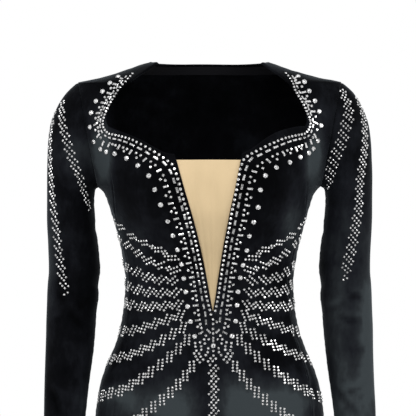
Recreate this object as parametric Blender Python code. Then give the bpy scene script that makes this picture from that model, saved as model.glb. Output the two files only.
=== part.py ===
"""A long-sleeved evening gown in stretch velvet, worn form, held open as if on a general figure.

The body is one smooth form that narrows at the waist, follows the hips and flares to the floor. Its
cut pieces are areas of that form: the front with its plunging notch, two side fronts that carry the
shoulders, and the back. The sleeves start on the armholes, and a mesh insert lies behind the notch.

Tables are in millimetres and degrees. X is the wearer's left, -Y the front, +Z up, and the origin is
midway between the shoulders, where the wearer carries the gown.
"""

import math
from collections import namedtuple

import bmesh
import bpy
import numpy as np
from mathutils import Vector

MM = 0.001

# Cloth
WALL = 1.6
SEAM_GAP = 0.3
INSERT_WALL = 1.0
INSERT_DEPTH = WALL + 1.2
INSERT_ALLOWANCE = 7.0

# Body form
SHOULDER_TOP = 14.0
HEM = -1430.0
SIDE_ANGLE = 90.0
BACK_ANGLE = 180.0

# Armhole, a flat oval that leans out towards the shoulder, and how far round and down it draws the form
ARMHOLE_TOP = -16.0
ARMHOLE_BOTTOM = -166.0
ARMHOLE_TOP_REACH = 190.0
ARMHOLE_BOTTOM_REACH = 161.0
ARMHOLE_DEPTH = 51.0
ARMHOLE_DRAW_ANGLE = 14.0
UNDERARM_FALL = 5.0

# Neckline
CORNER_HEIGHT = -80.4
PLUNGE_TOP = -119.6
PLUNGE_TIP = -345.0
INSERT_TOP = -127.5
CUP_DROP = 4.0

# Outline from the front: the shoulder, the chest behind the armhole, and the side
Outline = namedtuple("Outline", "height half_width")
OUTLINE = [
    Outline(SHOULDER_TOP, 82),
    Outline(11, 94),
    Outline(4, 114),
    Outline(-4, 138),
    Outline(-10, 160),
    Outline(ARMHOLE_TOP, ARMHOLE_TOP_REACH),
    Outline(-22, 194),
    Outline(-37, 200),
    Outline(-60, 201),
    Outline(-80, 196.5),
    Outline(-100, 189),
    Outline(-124, 177),
    Outline(-146, 164),
    Outline(-166, 154.5),
    Outline(-180, 149.3),
    Outline(-197, 144),
    Outline(-232, 133),
    Outline(-270, 124.6),
    Outline(-305, 120.5),
    Outline(-336, 122.5),
    Outline(-375, 129.5),
    Outline(-402, 139),
    Outline(-428, 150),
    Outline(-460, 159.5),
    Outline(-499, 164.6),
    Outline(-550, 167),
    Outline(-620, 163),
    Outline(-720, 153),
    Outline(-830, 145),
    Outline(-920, 143),
    Outline(-1010, 154),
    Outline(-1100, 180),
    Outline(-1200, 220),
    Outline(-1310, 270),
    Outline(-1430, 322),
]

# Depth of the form, and how square its sections are (2 is an ellipse)
Depth = namedtuple("Depth", "height front back squareness")
DEPTHS = [
    Depth(14, 46, 52, 2.0),
    Depth(-4, 60, 66, 2.1),
    Depth(-37, 76, 82, 2.3),
    Depth(-80, 96, 95, 2.4),
    Depth(-120, 113, 100, 2.4),
    Depth(-160, 124, 100, 2.4),
    Depth(-197, 125, 96, 2.4),
    Depth(-240, 112, 87, 2.3),
    Depth(-280, 97, 79, 2.2),
    Depth(-320, 92, 77, 2.2),
    Depth(-375, 95, 86, 2.2),
    Depth(-430, 100, 103, 2.3),
    Depth(-500, 104, 116, 2.3),
    Depth(-580, 106, 116, 2.3),
    Depth(-680, 104, 108, 2.2),
    Depth(-830, 102, 100, 2.1),
    Depth(-920, 104, 102, 2.1),
    Depth(-1010, 115, 119, 2.0),
    Depth(-1100, 138, 150, 2.0),
    Depth(-1200, 172, 196, 2.0),
    Depth(-1310, 220, 258, 2.0),
    Depth(-1430, 272, 326, 2.0),
]

# Cups shaped by the princess seams
CUP_HEIGHT = -188.0
CUP_ANGLE = 33.0
CUP_LIFT = 17.0
CUP_ANGLE_SPREAD = 21.0
CUP_RISE_SPREAD = 62.0
CUP_FALL_SPREAD = 44.0

# Flutes of the flared hem
FLUTE_COUNT = 8
FLUTE_DEPTH = 24.0
FLUTE_START = -960.0
FLUTE_GROWTH = 1.3
FLUTE_UNEVENNESS = 0.3
FLUTE_SWAY = 0.7

# Edges on the form
Edge = namedtuple("Edge", "height half_width")
NECK_EDGE = [
    Edge(SHOULDER_TOP, 74),
    Edge(1, 90.5),
    Edge(-12, 107.5),
    Edge(-30, 125.5),
    Edge(-48, 137),
    Edge(-65, 143.5),
    Edge(-74, 144),
    Edge(CORNER_HEIGHT, 140),
]
PLUNGE_EDGE = [
    Edge(-118, 49),
    Edge(-127, 46),
    Edge(-145, 41.5),
    Edge(-172, 35),
    Edge(-197, 28.5),
    Edge(-242, 18.5),
    Edge(-290, 9.3),
    Edge(-326, 3.4),
    Edge(PLUNGE_TIP, 0),
]
PrincessSeam = namedtuple("PrincessSeam", "height angle")
PRINCESS_SEAM = [
    PrincessSeam(CORNER_HEIGHT, 61.6),
    PrincessSeam(-120, 59.5),
    PrincessSeam(-155, 61),
    PrincessSeam(-190, 66),
    PrincessSeam(-230, 73),
    PrincessSeam(-300, 72),
    PrincessSeam(-430, 68),
    PrincessSeam(-900, 62),
    PrincessSeam(HEM, 60),
]
# Height of the sweetheart edge along the front piece, from the plunge (0) to the corner (1)
Sweetheart = namedtuple("Sweetheart", "along height")
SWEETHEART = [
    Sweetheart(0, PLUNGE_TOP),
    Sweetheart(0.12, -116.5),
    Sweetheart(0.25, -110.5),
    Sweetheart(0.5, -97.5),
    Sweetheart(0.75, -87.5),
    Sweetheart(1, CORNER_HEIGHT),
]
SWEETHEART_FADE = -205.0

# How far the front hangs off centre as the gown is worn
Lean = namedtuple("Lean", "height shift")
FRONT_LEAN = [
    Lean(14, 0),
    Lean(-10, -0.5),
    Lean(-32, -4.5),
    Lean(-82, -4.3),
    Lean(-120, -1.8),
    Lean(-197, 1.2),
    Lean(-245, 3),
    Lean(-345, 4.8),
    Lean(-500, 6),
    Lean(-760, 0),
]
LEAN_FULL_ANGLE = 64.0
LEAN_END_ANGLE = 74.0

# Rings of a sleeve: its inner and outer line from the front, and its front and back from the side.
# The first is the armhole.
Ring = namedtuple("Ring", "inner inner_height outer outer_height front back")
SLEEVE_RINGS = [
    Ring(161, -166, 190, -16, 51, 51),
    Ring(164.5, -167, 206, -28, 53, 54),
    Ring(166.5, -169.5, 222, -53, 55, 56),
    Ring(167.5, -174.5, 231.5, -82, 55, 57),
    Ring(168, -185, 235, -118, 53, 56),
    Ring(168, -200, 236, -160, 50, 54),
    Ring(165.5, -224, 236, -204, 48, 52),
    Ring(161.5, -256, 234.5, -250, 45, 52),
    Ring(159.5, -286, 233.5, -286, 42, 53),
    Ring(162, -306, 235, -306, 40, 53),
    Ring(163.5, -330, 236, -330, 39, 51),
    Ring(165, -362, 236.5, -362, 41, 45),
    Ring(168, -400, 237, -400, 45, 36),
    Ring(174, -450, 238, -450, 52, 22),
    Ring(180, -499, 239.5, -499, 60, 9),
    Ring(186, -550, 241, -550, 67, -4),
    Ring(190, -600, 242.5, -600, 73, -16),
]
# Soft folds in the crook of the elbow
Fold = namedtuple("Fold", "height depth width slope")
ELBOW_FOLDS = [
    Fold(-308, 2.6, 7, 0.20),
    Fold(-325, 2.2, 8, 0.05),
    Fold(-344, 2.4, 9, -0.18),
]
FOLD_ANGLE = 60.0
FOLD_SPREAD = 65.0

# Rows and columns of the meshes
ARMHOLE_ROWS = [ARMHOLE_BOTTOM, -160.5, -146, -124, -100, CORNER_HEIGHT, -58, -37, -22, ARMHOLE_TOP]
SHOULDER_ROWS = [-10, -3, 5, 10, SHOULDER_TOP]
LOWER_ROWS = [
    HEM, -1385, -1335, -1280, -1225, -1170, -1115, -1060, -1005, -950, -880, -800, -715,
    -635, -560, -500, -460, -428, -400, -372, PLUNGE_TIP, -320, -295, -270, -246, -222, -203,
    -186, -175, -170,
]
INSERT_ROWS = [INSERT_TOP, -138, -152, -168, -181, -190]
FRONT_COLUMNS = 8
SIDE_COLUMNS = 4
BACK_COLUMNS = 20
INSERT_COLUMNS = 8
SLEEVE_STEPS = [0, 1, 2, 3, 4, 5, 6, 7, 8, 8.5, 9, 9.33, 9.67, 10, 10.3, 10.65, 11, 12, 13, 14, 15, 16]

# How far apart the points lie from which a facing is read
TURN_STEP = 0.3
HEIGHT_STEP = 1.0
SLEEVE_TURN_STEP = 2.0
SLEEVE_RING_STEP = 0.05
MITRE_STEP = 0.5
WELD = 1e-6
SHARP_EDGE = 50.0

# Colours, as linear values, and how dull they are
VELVET = (0.010, 0.011, 0.014, 1.0)
VELVET_ROUGHNESS = 0.85
NUDE_MESH = (0.62, 0.45, 0.27, 1.0)
NUDE_MESH_ROUGHNESS = 0.7


def smooth_line(places, values):
    """A smooth line through values at rising places, which never swings past them."""
    places = np.array(places, float)
    values = np.array(values, float)
    spans = np.diff(places)
    rates = np.diff(values) / spans
    slopes = np.zeros(len(places))
    slopes[0] = rates[0]
    slopes[-1] = rates[-1]
    for i in range(1, len(places) - 1):
        if rates[i - 1] * rates[i] > 0:
            slopes[i] = 2 * rates[i - 1] * rates[i] / (rates[i - 1] + rates[i])

    def read(place):
        place = min(max(place, places[0]), places[-1])
        i = min(int(np.searchsorted(places, place, side="right")) - 1, len(spans) - 1)
        t = (place - places[i]) / spans[i]
        start = (1 + 2 * t) * (1 - t) ** 2 * values[i] + t * (1 - t) ** 2 * spans[i] * slopes[i]
        end = t * t * (3 - 2 * t) * values[i + 1] + t * t * (t - 1) * spans[i] * slopes[i + 1]
        return float(start + end)

    return read


def line_through(rows, along, value):
    """A smooth line through one named column of a table, read along another."""
    points = sorted((getattr(row, along), getattr(row, value)) for row in rows)
    return smooth_line(*zip(*points))


half_width = line_through(OUTLINE, "height", "half_width")
front_depth = line_through(DEPTHS, "height", "front")
back_depth = line_through(DEPTHS, "height", "back")
squareness = line_through(DEPTHS, "height", "squareness")
neck_edge = line_through(NECK_EDGE, "height", "half_width")
plunge_edge = line_through(PLUNGE_EDGE, "height", "half_width")
princess_seam = line_through(PRINCESS_SEAM, "height", "angle")
sweetheart = line_through(SWEETHEART, "along", "height")
front_lean = line_through(FRONT_LEAN, "height", "shift")
ring_lines = {
    name: smooth_line(range(len(SLEEVE_RINGS)), [getattr(ring, name) for ring in SLEEVE_RINGS])
    for name in Ring._fields
}


def angle_within(angle):
    """The same angle between -180 and 180."""
    return (angle + 180) % 360 - 180


def armhole_turn(height):
    """Angle round the armhole, from 0 at its bottom to 180 at its top."""
    middle = (ARMHOLE_TOP + ARMHOLE_BOTTOM) / 2
    half = (ARMHOLE_TOP - ARMHOLE_BOTTOM) / 2
    return math.degrees(math.acos(min(max((middle - height) / half, -1), 1)))


def armhole_place(height):
    """How far the armhole lies from the middle of the gown, and how far it opens to the front and back."""
    up = (height - ARMHOLE_BOTTOM) / (ARMHOLE_TOP - ARMHOLE_BOTTOM)
    reach = ARMHOLE_BOTTOM_REACH + up * (ARMHOLE_TOP_REACH - ARMHOLE_BOTTOM_REACH)
    return reach, ARMHOLE_DEPTH * math.sin(math.radians(armhole_turn(height)))


def armhole_angle(height, at_front):
    """The angle where the armhole's oval cuts the form, or the side seam's above and below it."""
    if not ARMHOLE_BOTTOM < height < ARMHOLE_TOP:
        return SIDE_ANGLE
    reach, opening = armhole_place(height)
    return math.degrees(math.atan2(reach, opening if at_front else -opening))


def plain_radius(angle, height):
    """Radius of the form's rounded section, without what draws it in or out."""
    turn = math.radians(angle)
    depth = front_depth(height) if math.cos(turn) >= 0 else back_depth(height)
    power = squareness(height)
    across = abs(math.sin(turn)) / half_width(height)
    along = abs(math.cos(turn)) / depth
    return (across ** power + along ** power) ** (-1 / power)


def armhole_draw(angle, height):
    """How far the armhole draws the form out beside it and just under the arm."""
    if height >= ARMHOLE_TOP:
        return 0.0
    level = max(height, ARMHOLE_BOTTOM)
    edge = armhole_angle(level, math.cos(math.radians(angle)) >= 0)
    draw = math.hypot(*armhole_place(level)) - plain_radius(edge, level)
    away = (abs(angle_within(angle)) - edge) / ARMHOLE_DRAW_ANGLE
    return draw * math.exp(-away * away - (level - height) / UNDERARM_FALL)


def cup(angle, height):
    """How far a cup stands out."""
    spread = CUP_RISE_SPREAD if height > CUP_HEIGHT else CUP_FALL_SPREAD
    across = (abs(angle) - CUP_ANGLE) / CUP_ANGLE_SPREAD
    return CUP_LIFT * math.exp(-across * across - ((height - CUP_HEIGHT) / spread) ** 2)


def flute(angle, height):
    """How far a flute of the hem stands out or in."""
    if height > FLUTE_START:
        return 0.0
    down = (FLUTE_START - height) / (FLUTE_START - HEM)
    turn = math.radians(angle)
    size = 1 + FLUTE_UNEVENNESS * math.cos(3 * turn + 1)
    wave = math.cos(FLUTE_COUNT * turn + FLUTE_SWAY * math.sin(2 * turn))
    return FLUTE_DEPTH * down ** FLUTE_GROWTH * size * wave


def form_point(angle, height):
    """A point of the form. The angle is 0 at the centre front, 90 at the wearer's left side, 180 behind."""
    turn = math.radians(angle)
    radius = plain_radius(angle, height) + armhole_draw(angle, height)
    radius += cup(angle, height) + flute(angle, height)
    fade = min(max((LEAN_END_ANGLE - abs(angle)) / (LEAN_END_ANGLE - LEAN_FULL_ANGLE), 0), 1)
    lean = front_lean(height) * fade * fade * (3 - 2 * fade)
    return np.array((radius * math.sin(turn) + lean, -radius * math.cos(turn), height))


def form_normal(angle, height):
    """The direction that faces out of the form at a point."""
    top = min(height + HEIGHT_STEP, SHOULDER_TOP)
    bottom = max(height - HEIGHT_STEP, HEM)
    across = form_point(angle + TURN_STEP, height) - form_point(angle - TURN_STEP, height)
    upward = form_point(angle, top) - form_point(angle, bottom)
    normal = np.cross(across, upward)
    return normal / np.linalg.norm(normal)


def angle_at(half, height):
    """The angle at which the front of the form is this far from its centre."""
    low, high = 0.0, SIDE_ANGLE
    for _ in range(40):
        middle = (low + high) / 2
        reach = form_point(middle, height)[0] - form_point(0, height)[0]
        low, high = (middle, high) if reach < half else (low, middle)
    return (low + high) / 2


def beside(angle, height, gap):
    """The angle a small distance further round the form."""
    radius = np.hypot(*form_point(angle, height)[:2])
    return angle + math.degrees(gap / radius)


def rim(mesh, first, second, second_inside, first_inside):
    """One quad of a wall's edge, split the same way on both sides of a seam so that the gap stays even."""
    if first.co.z >= second.co.z:
        mesh.faces.new((first, second, second_inside, first_inside))
    else:
        mesh.faces.new((second, second_inside, first_inside, first))


def wall(outer, inner, closed_round=False, open_rows=()):
    """Quads of a cloth wall from its outer and inner rows of points. Rows run down and columns run
    towards the wearer's left. In open_rows the first column has no rim, because another half joins it."""
    mesh = bmesh.new()
    rows, columns = len(outer), len(outer[0])
    out = [[mesh.verts.new(Vector(point) * MM) for point in row] for row in outer]
    back = [[mesh.verts.new(Vector(point) * MM) for point in row] for row in inner]
    spans = columns if closed_round else columns - 1
    for j in range(spans):
        k = (j + 1) % columns
        for i in range(rows - 1):
            mesh.faces.new((out[i][j], out[i + 1][j], out[i + 1][k], out[i][k]))
            mesh.faces.new((back[i][k], back[i + 1][k], back[i + 1][j], back[i][j]))
        rim(mesh, out[0][j], out[0][k], back[0][k], back[0][j])
        rim(mesh, out[-1][k], out[-1][j], back[-1][j], back[-1][k])
    if not closed_round:
        for i in range(rows - 1):
            if i not in open_rows:
                rim(mesh, out[i + 1][0], out[i][0], back[i][0], back[i + 1][0])
            rim(mesh, out[i][-1], out[i + 1][-1], back[i + 1][-1], back[i][-1])
    return mesh


def wall_on_form(grid, depth=0.0, thickness=WALL, armhole_columns=(), **options):
    """A cloth wall from rows of (angle, height) places on the form, sunk by a depth."""
    outer, inner = [], []
    for row in grid:
        points = [form_point(*place) for place in row]
        normals = [form_normal(*place) for place in row]
        for column in armhole_columns:
            angle, height = row[column]
            if ARMHOLE_BOTTOM <= height <= ARMHOLE_TOP:
                at_front = math.cos(math.radians(angle)) > 0
                flip = np.array((math.copysign(1, points[column][0]), 1, 1))
                normals[column] = armhole_mitre(height, at_front) * flip
        outer.append([point - normal * depth for point, normal in zip(points, normals)])
        inner.append([point - normal * (depth + thickness) for point, normal in zip(points, normals)])
    return wall(outer, inner, **options)


def cloth_material(name, colour, roughness):
    material = bpy.data.materials.new(name)
    material.use_nodes = True
    shader = material.node_tree.nodes["Principled BSDF"]
    shader.inputs["Base Color"].default_value = colour
    shader.inputs["Roughness"].default_value = roughness
    shader.inputs["Metallic"].default_value = 0.0
    return material


def add_piece(name, mesh, material, collection):
    """An object for one cut piece, with its faces turned out."""
    bmesh.ops.remove_doubles(mesh, verts=mesh.verts, dist=WELD)
    bmesh.ops.recalc_face_normals(mesh, faces=mesh.faces)
    data = bpy.data.meshes.new(name)
    mesh.to_mesh(data)
    mesh.free()
    data.shade_smooth()
    data.set_sharp_from_angle(angle=math.radians(SHARP_EDGE))
    data.materials.append(material)
    collection.objects.link(bpy.data.objects.new(name, data))


def velvet(name):
    return cloth_material(name + "_velvet", VELVET, VELVET_ROUGHNESS)


def heights_of(bottom, top):
    """The rows of the body between two heights, from the top down."""
    rows = LOWER_ROWS + ARMHOLE_ROWS + SHOULDER_ROWS
    return sorted((row for row in rows if bottom <= row <= top), reverse=True)


def front_half(side):
    """Rows of (angle, height) places on one half of the front, from the centre to the princess seam."""
    grid = []
    for level in heights_of(HEM, CORNER_HEIGHT):
        fade = max((level - SWEETHEART_FADE) / (CORNER_HEIGHT - SWEETHEART_FADE), 0)
        row = []
        for j in range(FRONT_COLUMNS + 1):
            along = j / FRONT_COLUMNS
            drop = sweetheart(along) - CORNER_HEIGHT + side * CUP_DROP * math.sin(math.pi * along) ** 0.5
            height = level + drop * fade
            start = angle_at(plunge_edge(height), height) if height > PLUNGE_TIP else 0.0
            end = beside(princess_seam(height), height, -SEAM_GAP / 2)
            row.append((side * (start + along * (end - start)), height))
        grid.append(row)
    return grid


def make_front(collection):
    """The front, with its notch open down to the plunge's tip and whole below it."""
    levels = heights_of(HEM, CORNER_HEIGHT)
    below_tip = [i for i, level in enumerate(levels) if level <= PLUNGE_TIP]
    whole = bmesh.new()
    for side in (-1, 1):
        half = wall_on_form(front_half(side), open_rows=below_tip)
        data = bpy.data.meshes.new("front_half")
        half.to_mesh(data)
        half.free()
        whole.from_mesh(data)
        bpy.data.meshes.remove(data)
    add_piece("front", whole, velvet("front"), collection)


def side_front_row(height, side):
    """Places of one row of a side front, from the neckline or princess seam to the outer edge."""
    if height > CORNER_HEIGHT:
        start = angle_at(neck_edge(height), height)
    else:
        start = beside(princess_seam(height), height, SEAM_GAP / 2)
    end = armhole_angle(height, at_front=True)
    if end == SIDE_ANGLE:
        end = beside(SIDE_ANGLE, height, -SEAM_GAP / 2)
    return [(side * (start + (end - start) * j / SIDE_COLUMNS), height) for j in range(SIDE_COLUMNS + 1)]


def make_side_front(side, name, collection):
    grid = [side_front_row(height, side) for height in heights_of(HEM, SHOULDER_TOP)]
    add_piece(name, wall_on_form(grid, armhole_columns=[-1]), velvet(name), collection)


def back_row(height):
    """Places of one row of the back, from the right side round to the left."""
    start = armhole_angle(height, at_front=False)
    if start == SIDE_ANGLE:
        start = beside(SIDE_ANGLE, height, SEAM_GAP / 2)
    span = 2 * (BACK_ANGLE - start)
    return [(start + span * j / BACK_COLUMNS, height) for j in range(BACK_COLUMNS + 1)]


def make_back(collection):
    grid = [back_row(height) for height in heights_of(HEM, SHOULDER_TOP)]
    add_piece("back", wall_on_form(grid, armhole_columns=[0, -1]), velvet("back"), collection)


def make_insert(collection):
    """The mesh insert, from its straight top edge to just under the plunge's tip."""
    heights = INSERT_ROWS + heights_of(PLUNGE_TIP, SWEETHEART_FADE + WALL) + [PLUNGE_TIP - INSERT_ALLOWANCE]
    grid = []
    for height in heights:
        half = angle_at(plunge_edge(height) + INSERT_ALLOWANCE, height)
        grid.append([(half * (2 * j / INSERT_COLUMNS - 1), height) for j in range(INSERT_COLUMNS + 1)])
    mesh = wall_on_form(grid, depth=INSERT_DEPTH, thickness=INSERT_WALL)
    add_piece("plunge_insert", mesh, cloth_material("nude_mesh", NUDE_MESH, NUDE_MESH_ROUGHNESS), collection)


def elbow_fold(turn, height):
    """How far the soft folds in the crook of the elbow stand out."""
    away = angle_within(turn - FOLD_ANGLE)
    lift = 0.0
    for fold in ELBOW_FOLDS:
        centre = fold.height + fold.slope * away
        lift += fold.depth * math.exp(-((height - centre) / fold.width) ** 2)
    return lift * math.exp(-(away / FOLD_SPREAD) ** 2)


def sleeve_point(turn, step):
    """A point of the left sleeve. The turn is 0 under the arm, 90 at the front and 180 outside."""
    ring = Ring(*(ring_lines[name](step) for name in Ring._fields))
    middle_depth = (ring.back - ring.front) / 2
    under = np.array((ring.inner, middle_depth, ring.inner_height))
    outside = np.array((ring.outer, middle_depth, ring.outer_height))
    forward = np.array((0.0, -(ring.front + ring.back) / 2, 0.0))
    out = (under - outside) / 2 * math.cos(math.radians(turn)) + forward * math.sin(math.radians(turn))
    point = (under + outside) / 2 + out
    return point + out / np.linalg.norm(out) * elbow_fold(turn, point[2])


def sleeve_normal(turn, step):
    """The direction that faces out of the left sleeve at a point."""
    above, below = max(step - SLEEVE_RING_STEP, 0), min(step + SLEEVE_RING_STEP, len(SLEEVE_RINGS) - 1)
    across = sleeve_point(turn + SLEEVE_TURN_STEP, step) - sleeve_point(turn - SLEEVE_TURN_STEP, step)
    normal = np.cross(sleeve_point(turn, below) - sleeve_point(turn, above), across)
    return normal / np.linalg.norm(normal)


def armhole_mitre(height, at_front):
    """The way the left armhole's seam faces, halfway between the body and the sleeve."""
    turn = armhole_turn(height) if at_front else 360 - armhole_turn(height)
    facing = form_normal(armhole_angle(height, at_front), height) + sleeve_normal(turn, MITRE_STEP)
    return facing / np.linalg.norm(facing)


def armhole_ring():
    """Turns, points and facings of the sleeve's first ring, which lies just outside the armhole."""
    front = [(height, True) for height in sorted(ARMHOLE_ROWS)]
    behind = [(height, False) for height in sorted(ARMHOLE_ROWS, reverse=True)[1:-1]]
    turns, points, facings = [], [], []
    for height, at_front in front + behind:
        turn = armhole_turn(height)
        turns.append(turn if at_front else 360 - turn)
        points.append(form_point(armhole_angle(height, at_front), height))
        facings.append(armhole_mitre(height, at_front))
    seam = []
    for i, facing in enumerate(facings):
        along = points[(i + 1) % len(points)] - points[i - 1]
        outward = np.cross(along, facing)
        seam.append(points[i] + outward / np.linalg.norm(outward) * SEAM_GAP)
    return turns, seam, facings


def make_sleeve(side, name, collection):
    turns, seam, facings = armhole_ring()
    outer = [seam]
    inner = [[point - facing * WALL for point, facing in zip(seam, facings)]]
    for step in SLEEVE_STEPS[1:]:
        points = [sleeve_point(turn, step) for turn in turns]
        outer.append(points)
        inner.append([point - sleeve_normal(turn, step) * WALL for point, turn in zip(points, turns)])
    flip = np.array((side, 1, 1))
    skins = ([[point * flip for point in row] for row in skin] for skin in (outer, inner))
    add_piece(name, wall(*skins, closed_round=True), velvet(name), collection)


def clear_scene():
    for thing in list(bpy.data.objects):
        bpy.data.objects.remove(thing)


def main():
    clear_scene()
    collection = bpy.data.collections.new("evening_gown")
    bpy.context.scene.collection.children.link(collection)
    make_front(collection)
    for side, name in ((-1, "right"), (1, "left")):
        make_side_front(side, f"side_front_{name}", collection)
        make_sleeve(side, f"sleeve_{name}", collection)
    make_back(collection)
    make_insert(collection)


main()
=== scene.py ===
"""A long-sleeved evening gown in black stretch velvet with stone trim, in the form it has when worn.

The cloth is laid on the same form as the cut pieces' solids, whose tables are repeated here: millimetres
and degrees, X towards the wearer's left, -Y to the front, +Z up, and the origin midway between the
shoulders. The stones are then seated on the finished cloth.
"""

import math
from collections import namedtuple

import bmesh
import bpy
import numpy as np
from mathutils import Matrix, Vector
from mathutils.bvhtree import BVHTree


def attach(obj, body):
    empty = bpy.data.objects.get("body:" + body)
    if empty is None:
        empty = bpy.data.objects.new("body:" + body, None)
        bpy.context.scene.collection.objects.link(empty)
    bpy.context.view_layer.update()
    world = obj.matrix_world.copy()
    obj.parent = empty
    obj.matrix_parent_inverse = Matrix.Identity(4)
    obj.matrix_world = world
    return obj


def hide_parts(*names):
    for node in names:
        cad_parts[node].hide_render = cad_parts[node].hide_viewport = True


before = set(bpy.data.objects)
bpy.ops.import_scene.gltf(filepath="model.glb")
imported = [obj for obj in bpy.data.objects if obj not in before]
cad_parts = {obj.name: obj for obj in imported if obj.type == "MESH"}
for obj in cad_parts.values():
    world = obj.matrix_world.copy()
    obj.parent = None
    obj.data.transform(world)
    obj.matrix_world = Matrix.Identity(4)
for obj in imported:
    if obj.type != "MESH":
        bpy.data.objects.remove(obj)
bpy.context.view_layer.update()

MM = 0.001


def tabled(row, *values):
    """A table's rows, with their values by name."""
    return [row(*value) for value in values]


# Cloth
VELVET_WALL = 1.2
SEAM_GAP = 0.1
INSERT_WALL = 0.7
INSERT_DEPTH = 2.8
INSERT_ALLOWANCE = 7.0
FOLD_DEPTH = 1.5

# Body form
SHOULDER_TOP = 14.0
HEM = -1430.0
SIDE_ANGLE = 90.0
BACK_ANGLE = 180.0

# Armhole, a flat oval that leans out towards the shoulder, and how far round and down it draws the form
ARMHOLE_TOP = -16.0
ARMHOLE_BOTTOM = -166.0
ARMHOLE_TOP_REACH = 190.0
ARMHOLE_BOTTOM_REACH = 161.0
ARMHOLE_DEPTH = 51.0
ARMHOLE_DRAW_ANGLE = 14.0
UNDERARM_FALL = 5.0

# Neckline
CORNER_HEIGHT = -80.4
PLUNGE_TOP = -119.6
PLUNGE_TIP = -345.0
INSERT_TOP = -127.5
CUP_DROP = 4.0

# Outline from the front: the shoulder, the chest behind the armhole, and the side
Edge = namedtuple("Edge", "height half_width")
OUTLINE = tabled(
    Edge,
    (SHOULDER_TOP, 82), (11, 94), (4, 114), (-4, 138), (-10, 160), (ARMHOLE_TOP, ARMHOLE_TOP_REACH),
    (-22, 194), (-37, 200), (-60, 201), (-80, 196.5), (-100, 189), (-124, 177), (-146, 164),
    (-166, 154.5), (-180, 149.3), (-197, 144), (-232, 133), (-270, 124.6), (-305, 120.5), (-336, 122.5),
    (-375, 129.5), (-402, 139), (-428, 150), (-460, 159.5), (-499, 164.6), (-550, 167), (-620, 163),
    (-720, 153), (-830, 145), (-920, 143), (-1010, 154), (-1100, 180), (-1200, 220), (-1310, 270),
    (-1430, 322))

# Depth of the form, and how square its sections are (2 is an ellipse)
Depth = namedtuple("Depth", "height front back squareness")
DEPTHS = tabled(
    Depth,
    (14, 46, 52, 2.0), (-4, 60, 66, 2.1), (-37, 76, 82, 2.3), (-80, 96, 95, 2.4), (-120, 113, 100, 2.4),
    (-160, 124, 100, 2.4), (-197, 125, 96, 2.4), (-240, 112, 87, 2.3), (-280, 97, 79, 2.2),
    (-320, 92, 77, 2.2), (-375, 95, 86, 2.2), (-430, 100, 103, 2.3), (-500, 104, 116, 2.3),
    (-580, 106, 116, 2.3), (-680, 104, 108, 2.2), (-830, 102, 100, 2.1), (-920, 104, 102, 2.1),
    (-1010, 115, 119, 2.0), (-1100, 138, 150, 2.0), (-1200, 172, 196, 2.0), (-1310, 220, 258, 2.0),
    (-1430, 272, 326, 2.0))

# Cups shaped by the princess seams
CUP_HEIGHT = -188.0
CUP_ANGLE = 33.0
CUP_LIFT = 17.0
CUP_ANGLE_SPREAD = 21.0
CUP_RISE_SPREAD = 62.0
CUP_FALL_SPREAD = 44.0

# Flutes of the flared hem
FLUTE_COUNT = 8
FLUTE_DEPTH = 24.0
FLUTE_START = -960.0
FLUTE_GROWTH = 1.3
FLUTE_UNEVENNESS = 0.3
FLUTE_SWAY = 0.7
SWAY_COUNT = 2
UNEVEN_COUNT = 3
UNEVEN_START = 1.0

# Edges on the form
NECK_EDGE = tabled(
    Edge,
    (SHOULDER_TOP, 74), (1, 90.5), (-12, 107.5), (-30, 125.5), (-48, 137), (-65, 143.5), (-74, 144),
    (CORNER_HEIGHT, 140))
PLUNGE_EDGE = tabled(
    Edge,
    (-118, 49), (-127, 46), (-145, 41.5), (-172, 35), (-197, 28.5), (-242, 18.5), (-290, 9.3),
    (-326, 3.4), (PLUNGE_TIP, 0))
PrincessSeam = namedtuple("PrincessSeam", "height angle")
PRINCESS_SEAM = tabled(
    PrincessSeam,
    (CORNER_HEIGHT, 61.6), (-120, 59.5), (-155, 61), (-190, 66), (-230, 73), (-300, 72), (-430, 68),
    (-900, 62), (HEM, 60))
# Height of the sweetheart edge along the front piece, from the plunge (0) to the corner (1)
Sweetheart = namedtuple("Sweetheart", "along height")
SWEETHEART = tabled(
    Sweetheart,
    (0, PLUNGE_TOP), (0.12, -116.5), (0.25, -110.5), (0.5, -97.5), (0.75, -87.5), (1, CORNER_HEIGHT))
SWEETHEART_FADE = -205.0

# How far the front hangs off centre as the gown is worn
Lean = namedtuple("Lean", "height shift")
FRONT_LEAN = tabled(
    Lean,
    (14, 0), (-10, -0.5), (-32, -4.5), (-82, -4.3), (-120, -1.8), (-197, 1.2), (-245, 3), (-345, 4.8),
    (-500, 6), (-760, 0))
LEAN_FULL_ANGLE = 64.0
LEAN_END_ANGLE = 74.0

# Rings of a sleeve: its inner and outer line from the front, and its front and back from the side.
# The first is the armhole.
Ring = namedtuple("Ring", "inner inner_height outer outer_height front back")
SLEEVE_RINGS = tabled(
    Ring,
    (161, -166, 190, -16, 51, 51), (164.5, -167, 206, -28, 53, 54), (166.5, -169.5, 222, -53, 55, 56),
    (167.5, -174.5, 231.5, -82, 55, 57), (168, -185, 235, -118, 53, 56), (168, -200, 236, -160, 50, 54),
    (165.5, -224, 236, -204, 48, 52), (161.5, -256, 234.5, -250, 45, 52),
    (159.5, -286, 233.5, -286, 42, 53), (162, -306, 235, -306, 40, 53), (163.5, -330, 236, -330, 39, 51),
    (165, -362, 236.5, -362, 41, 45), (168, -400, 237, -400, 45, 36), (174, -450, 238, -450, 52, 22),
    (180, -499, 239.5, -499, 60, 9), (186, -550, 241, -550, 67, -4), (190, -600, 242.5, -600, 73, -16))
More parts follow.
